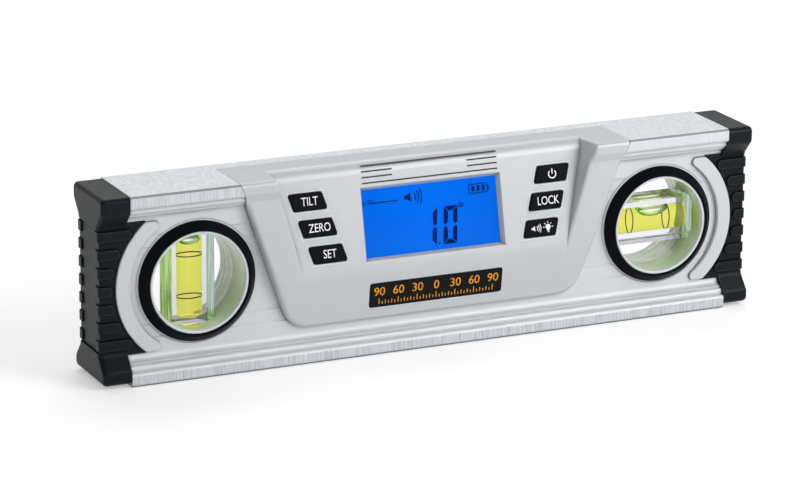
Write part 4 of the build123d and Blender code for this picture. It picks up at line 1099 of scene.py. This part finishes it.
class LEVEL_OT_keys(Operator):
    """Black keys with white legends that move with them, and the light rims round them, which are painted
    highlights
    """

    bl_idname = "level.keys"
    bl_label = "Keys"

    def execute(self, context):
        sizes, colours, _ = settings()
        black = moulded(
            "key_black", colours.key, roughness=0.46, grain=2400.0, strength=0.12,
            edge=0.2 * MM, Specular_IOR_Level=0.06,
        )
        dress(black, *KEYS)
        ink = printed("legend_ink", colours.legend)
        words = {"left_top": "TILT", "left_middle": "ZERO", "left_bottom": "SET", "right_middle": "LOCK"}
        nudge = (0.5 * MM, 0)
        style = {"thickness": sizes.print_lift, "bold": sizes.legend_bold, "narrow": sizes.legend_narrow}
        for place, word in words.items():
            node = "key_" + place
            legend = lettering(word, sizes.legend_size, front_face(node), nudge, **style)
            piece("legend_" + place, *legend, node, "key", ink)
        # painted highlights round the keys
        rims = joined([key_rim(node, sizes) for node in KEYS])
        piece("key_rims", *rims, "frame", "cover", printed("key_highlight_ink", colours.rim))
        for place, signs in (("right_top", self.power_sign()), ("right_bottom", self.alert_signs())):
            node = "key_" + place
            legend = slabs(signs, front_face(node), 0, sizes.print_lift)
            piece("legend_" + place, *legend, node, "key", ink)
        return {"FINISHED"}

    def power_sign(self, stroke=0.42 * MM):
        """A ring open at the top with an upright stroke in its gap."""
        ring = bow((0, -0.15 * MM), 1.45 * MM, stroke, -230, 50, 33)
        return [ring, bar_outline((0, -0.1 * MM), (0, 1.75 * MM), stroke)]

    def alert_signs(self):
        """The loudspeaker and lamp signs side by side."""
        return speaker_sign((-3.0 * MM, 0), 0.8 * MM) + lamp_sign((2.6 * MM, 0.2 * MM), 1.0 * MM)


class LEVEL_OT_badge(Operator):
    """Black plate under the display with a plain angle scale"""

    bl_idname = "level.badge"
    bl_label = "Plate under the display"

    def execute(self, context):
        sizes, colours, _ = settings()
        black = moulded(
            "plate_black", tinted(colours.key, 0.7), roughness=0.34, grain=2600.0, strength=0.04,
            Specular_IOR_Level=0.12,
        )
        dress(black, "badge_plate")
        ink = printed("scale_ink", colours.scale, Specular_IOR_Level=0.1)
        face = front_face("badge_plate")
        numbers, steps, scale_share = (90, 60, 30, 0, 30, 60, 90), 6, 0.86
        reach = scale_share * middle_and_half("badge_plate")[1][0]
        foot, number_height = -3.4 * MM, 1.25 * MM
        short, medium, tall, stroke = 1.0 * MM, 1.5 * MM, 2.1 * MM, 0.30 * MM
        ticks = []
        for step, x in enumerate(np.linspace(-reach, reach, steps * (len(numbers) - 1) + 1)):
            rise = short if step % 2 else medium
            if step % steps == 0:
                rise = tall
            ticks.append(bar_outline((x, foot), (x, foot + rise), stroke))
        parts = [slabs(ticks, face, 0, sizes.print_lift)]
        style = {"thickness": sizes.print_lift, "bold": sizes.legend_bold}
        for x, number in zip(np.linspace(-reach, reach, len(numbers)), numbers):
            parts.append(lettering(str(number), sizes.badge_size, face, (x, number_height), **style))
        piece("badge_scale", *joined(parts), "frame", "badge", ink)
        return {"FINISHED"}


# Inner pieces


def screw_slots(arm, half, thickness):
    """Dark cross slots on the heads of the four screws, which face the rear: painted shade that stands for
    the shade in their recesses.
    """
    corners = node_points("housing_screws")
    heads = corners[corners[:, 1] > corners[:, 1].max() - FLATNESS]
    cross = np.array([
        (arm, -half), (arm, half), (half, half), (half, arm), (-half, arm), (-half, half),
        (-arm, half), (-arm, -half), (-half, -half), (-half, -arm), (half, -arm), (half, -half),
    ])
    places = []
    for side in (-1, 1):
        pair = heads[heads[:, 0] * side > 0]
        upper = pair[:, 2] > middle_of(pair)[2]
        for head in (pair[~upper], pair[upper]):
            places.append(slabs([cross], (middle_of(head), -RIGHT, UP, -FRONT), 0, thickness))
    return joined(places)


class LEVEL_OT_inside(Operator):
    """Board, chips, mats, cells, contacts and screws"""

    bl_idname = "level.inside"
    bl_label = "Inner pieces"

    def execute(self, context):
        sizes, colours, _ = settings()
        plastics = (
            ("board_green", colours.board, 0.4, 700.0, 0.1, ["circuit_board"]),
            ("chip_black", colours.chip, 0.5, 2500.0, 0.1, ["tilt_sensor", "buzzer"]),
            ("mat_rubber", colours.mat, 0.7, 1800.0, 0.15, ["key_mats"]),
            ("cell_sleeve", colours.cell, 0.35, 1200.0, 0.05, ["battery_cells"]),
        )
        for name, rgb, roughness, grain, strength, nodes in plastics:
            dress(moulded(name, rgb, roughness, grain, strength), *nodes)
        dress(metal("contact_nickel", colours.contact, roughness=0.3), "battery_contacts")
        dress(metal("screw_zinc", colours.screw, roughness=0.35), "housing_screws")
        slots = screw_slots(sizes.slot_arm, sizes.slot_width / 2, sizes.print_lift)
        # painted shade in the screw slots
        piece("screw_slots", *slots, "frame", "screw", printed("slot_shade_ink", colours.slot))
        return {"FINISHED"}


# Studio


class LEVEL_OT_stage(Operator):
    """Pale floor, soft studio light and the camera"""

    bl_idname = "level.stage"
    bl_label = "Studio"

    def execute(self, context):
        scene = context.scene
        studio = settings()[2]
        scene.view_settings.view_transform = "Standard"
        self.floor(scene, studio)
        self.light(scene, studio)
        self.view(scene, studio)
        return {"FINISHED"}

    def floor(self, scene, studio):
        """A level floor that curves up into a backdrop: a profile of depth and height carried across."""
        near, far, bend, top, half, drop = -3.0, 2.2, 1.2, 4.5, 5.0, 0.05 * MM
        angle = np.linspace(0, math.pi / 2, 17)
        depth = np.concatenate(([near, 0.0], far + bend * np.sin(angle), [far + bend]))
        height = np.concatenate(([0.0, 0.0], bend - bend * np.cos(angle), [top])) - drop
        across = np.linspace(-half, half, 3)
        points = np.stack(np.broadcast_arrays(across[None, :], depth[:, None], height[:, None]), axis=-1)
        mesh = bpy.data.meshes.new("floor")
        faces = grid_faces(len(depth), len(across), round_columns=False)
        mesh.from_pydata(points.reshape(-1, 3).tolist(), [], faces.tolist())
        mesh.shade_smooth()
        floor = bpy.data.objects.new("floor", mesh)
        scene.collection.objects.link(floor)
        finish = Finish("floor_white", Base_Color=studio.floor, Roughness=0.9, Specular_IOR_Level=0.1)
        path = finish.add("LightPath").outputs
        seen = finish.math("MAXIMUM", path["Is Camera Ray"], path["Is Glossy Ray"])
        seen = finish.math("MULTIPLY", seen, studio.floor_glow)
        through = finish.math("MULTIPLY", path["Is Transmission Ray"], studio.floor_through)
        finish.into(finish.math("MAXIMUM", seen, through), "Emission Strength")
        finish.into((1.0, 1.0, 1.0), "Emission Color")
        mesh.materials.append(finish.material)

    def soft_lamp(self, scene, name, power, size, place, target=(0, 0, 0.035)):
        """A soft square lamp that faces a point."""
        data = bpy.data.lights.new(name, "AREA")
        data.energy = power
        data.size = size
        made = bpy.data.objects.new(name, data)
        made.location = place
        made.rotation_euler = (Vector(target) - Vector(place)).to_track_quat("-Z", "Y").to_euler()
        scene.collection.objects.link(made)

    def light(self, scene, studio):
        """Key light at the front right, fill at the left, light above, and a world brighter on the right."""
        self.soft_lamp(scene, "key_light", studio.key_power, size=0.5, place=(0.42, -0.56, 0.42))
        self.soft_lamp(scene, "fill_light", studio.fill_power, size=0.8, place=(-0.95, -0.8, 0.45))
        self.soft_lamp(scene, "top_light", studio.top_power, size=1.0, place=(0.22, 0.8, 1.1))
        left_share, right_share = 0.6, 1.4
        world = bpy.data.worlds.new("studio")
        world.use_nodes = True
        tree = world.node_tree
        ground = tree.nodes["Background"]
        path = tree.nodes.new("ShaderNodeLightPath")
        seen = tree.nodes.new("ShaderNodeMath")
        seen.operation = "MAXIMUM"
        place = tree.nodes.new("ShaderNodeTexCoord")
        way = tree.nodes.new("ShaderNodeSeparateXYZ")
        side = tree.nodes.new("ShaderNodeMapRange")
        side.inputs["From Min"].default_value = -1.0
        side.inputs["To Min"].default_value = left_share * studio.ambient
        side.inputs["To Max"].default_value = right_share * studio.ambient
        level = tree.nodes.new("ShaderNodeMapRange")
        level.inputs["To Max"].default_value = 1.0
        ground.inputs["Color"].default_value = (1.0, 1.0, 1.0, 1.0)
        for start, stop in (
            (path.outputs["Is Camera Ray"], seen.inputs[0]),
            (path.outputs["Is Transmission Ray"], seen.inputs[1]),
            (place.outputs["Generated"], way.inputs[0]),
            (way.outputs["X"], side.inputs["Value"]),
            (seen.outputs[0], level.inputs["Value"]),
            (side.outputs["Result"], level.inputs["To Min"]),
            (level.outputs["Result"], ground.inputs["Strength"]),
        ):
            tree.links.new(start, stop)
        scene.world = world

    def view(self, scene, studio):
        """The camera: backwards is (sin a cos e, -cos a cos e, sin e), then rolled about that line."""
        data = bpy.data.cameras.new("camera")
        data.lens = studio.lens
        data.sensor_width = 36.0
        data.clip_start, data.clip_end = 0.05, 50.0
        camera = bpy.data.objects.new("camera", data)
        a, e = studio.azimuth, studio.elevation
        back = Vector((math.sin(a) * math.cos(e), -math.cos(a) * math.cos(e), math.sin(e)))
        level = (-back).to_track_quat("-Z", "Y").to_matrix().to_4x4()
        rolled = level @ Matrix.Rotation(studio.roll, 4, "Z")
        camera.matrix_world = Matrix.Translation(studio.camera) @ rolled
        scene.collection.objects.link(camera)
        scene.camera = camera


class LEVEL_PT_looks(Panel):
    """Sizes, colours and the steps that dress the level"""

    bl_idname = "LEVEL_PT_looks"
    bl_label = "Spirit Level"
    bl_space_type = "VIEW_3D"
    bl_region_type = "UI"
    bl_category = "Level"

    def draw(self, context):
        for group in settings():
            column = self.layout.column(align=True)
            for name in group.__annotations__:
                column.prop(group, name)
        for step in STEPS:
            self.layout.operator(step.bl_idname)


GROUPS = {"level_sizes": LevelSizes, "level_colours": LevelColours, "level_studio": LevelStudio}
STEPS = (
    LEVEL_OT_bar,
    LEVEL_OT_caps,
    LEVEL_OT_windows,
    LEVEL_OT_vials,
    LEVEL_OT_housing,
    LEVEL_OT_display,
    LEVEL_OT_keys,
    LEVEL_OT_badge,
    LEVEL_OT_inside,
    LEVEL_OT_stage,
)


def register():
    """Makes the classes known and hangs the property groups on the scene."""
    for made in (*GROUPS.values(), *STEPS, LEVEL_PT_looks):
        bpy.utils.register_class(made)
    for name, group in GROUPS.items():
        setattr(bpy.types.Scene, name, PointerProperty(type=group))


def unregister():
    """Takes back what register did."""
    for name in GROUPS:
        delattr(bpy.types.Scene, name)
    for made in reversed((*GROUPS.values(), *STEPS, LEVEL_PT_looks)):
        bpy.utils.unregister_class(made)


def main():
    """Dresses the level step by step."""
    register()
    for step in STEPS:
        group, name = step.bl_idname.split(".")
        getattr(getattr(bpy.ops, group), name)()


if __name__ == "__main__":
    main()
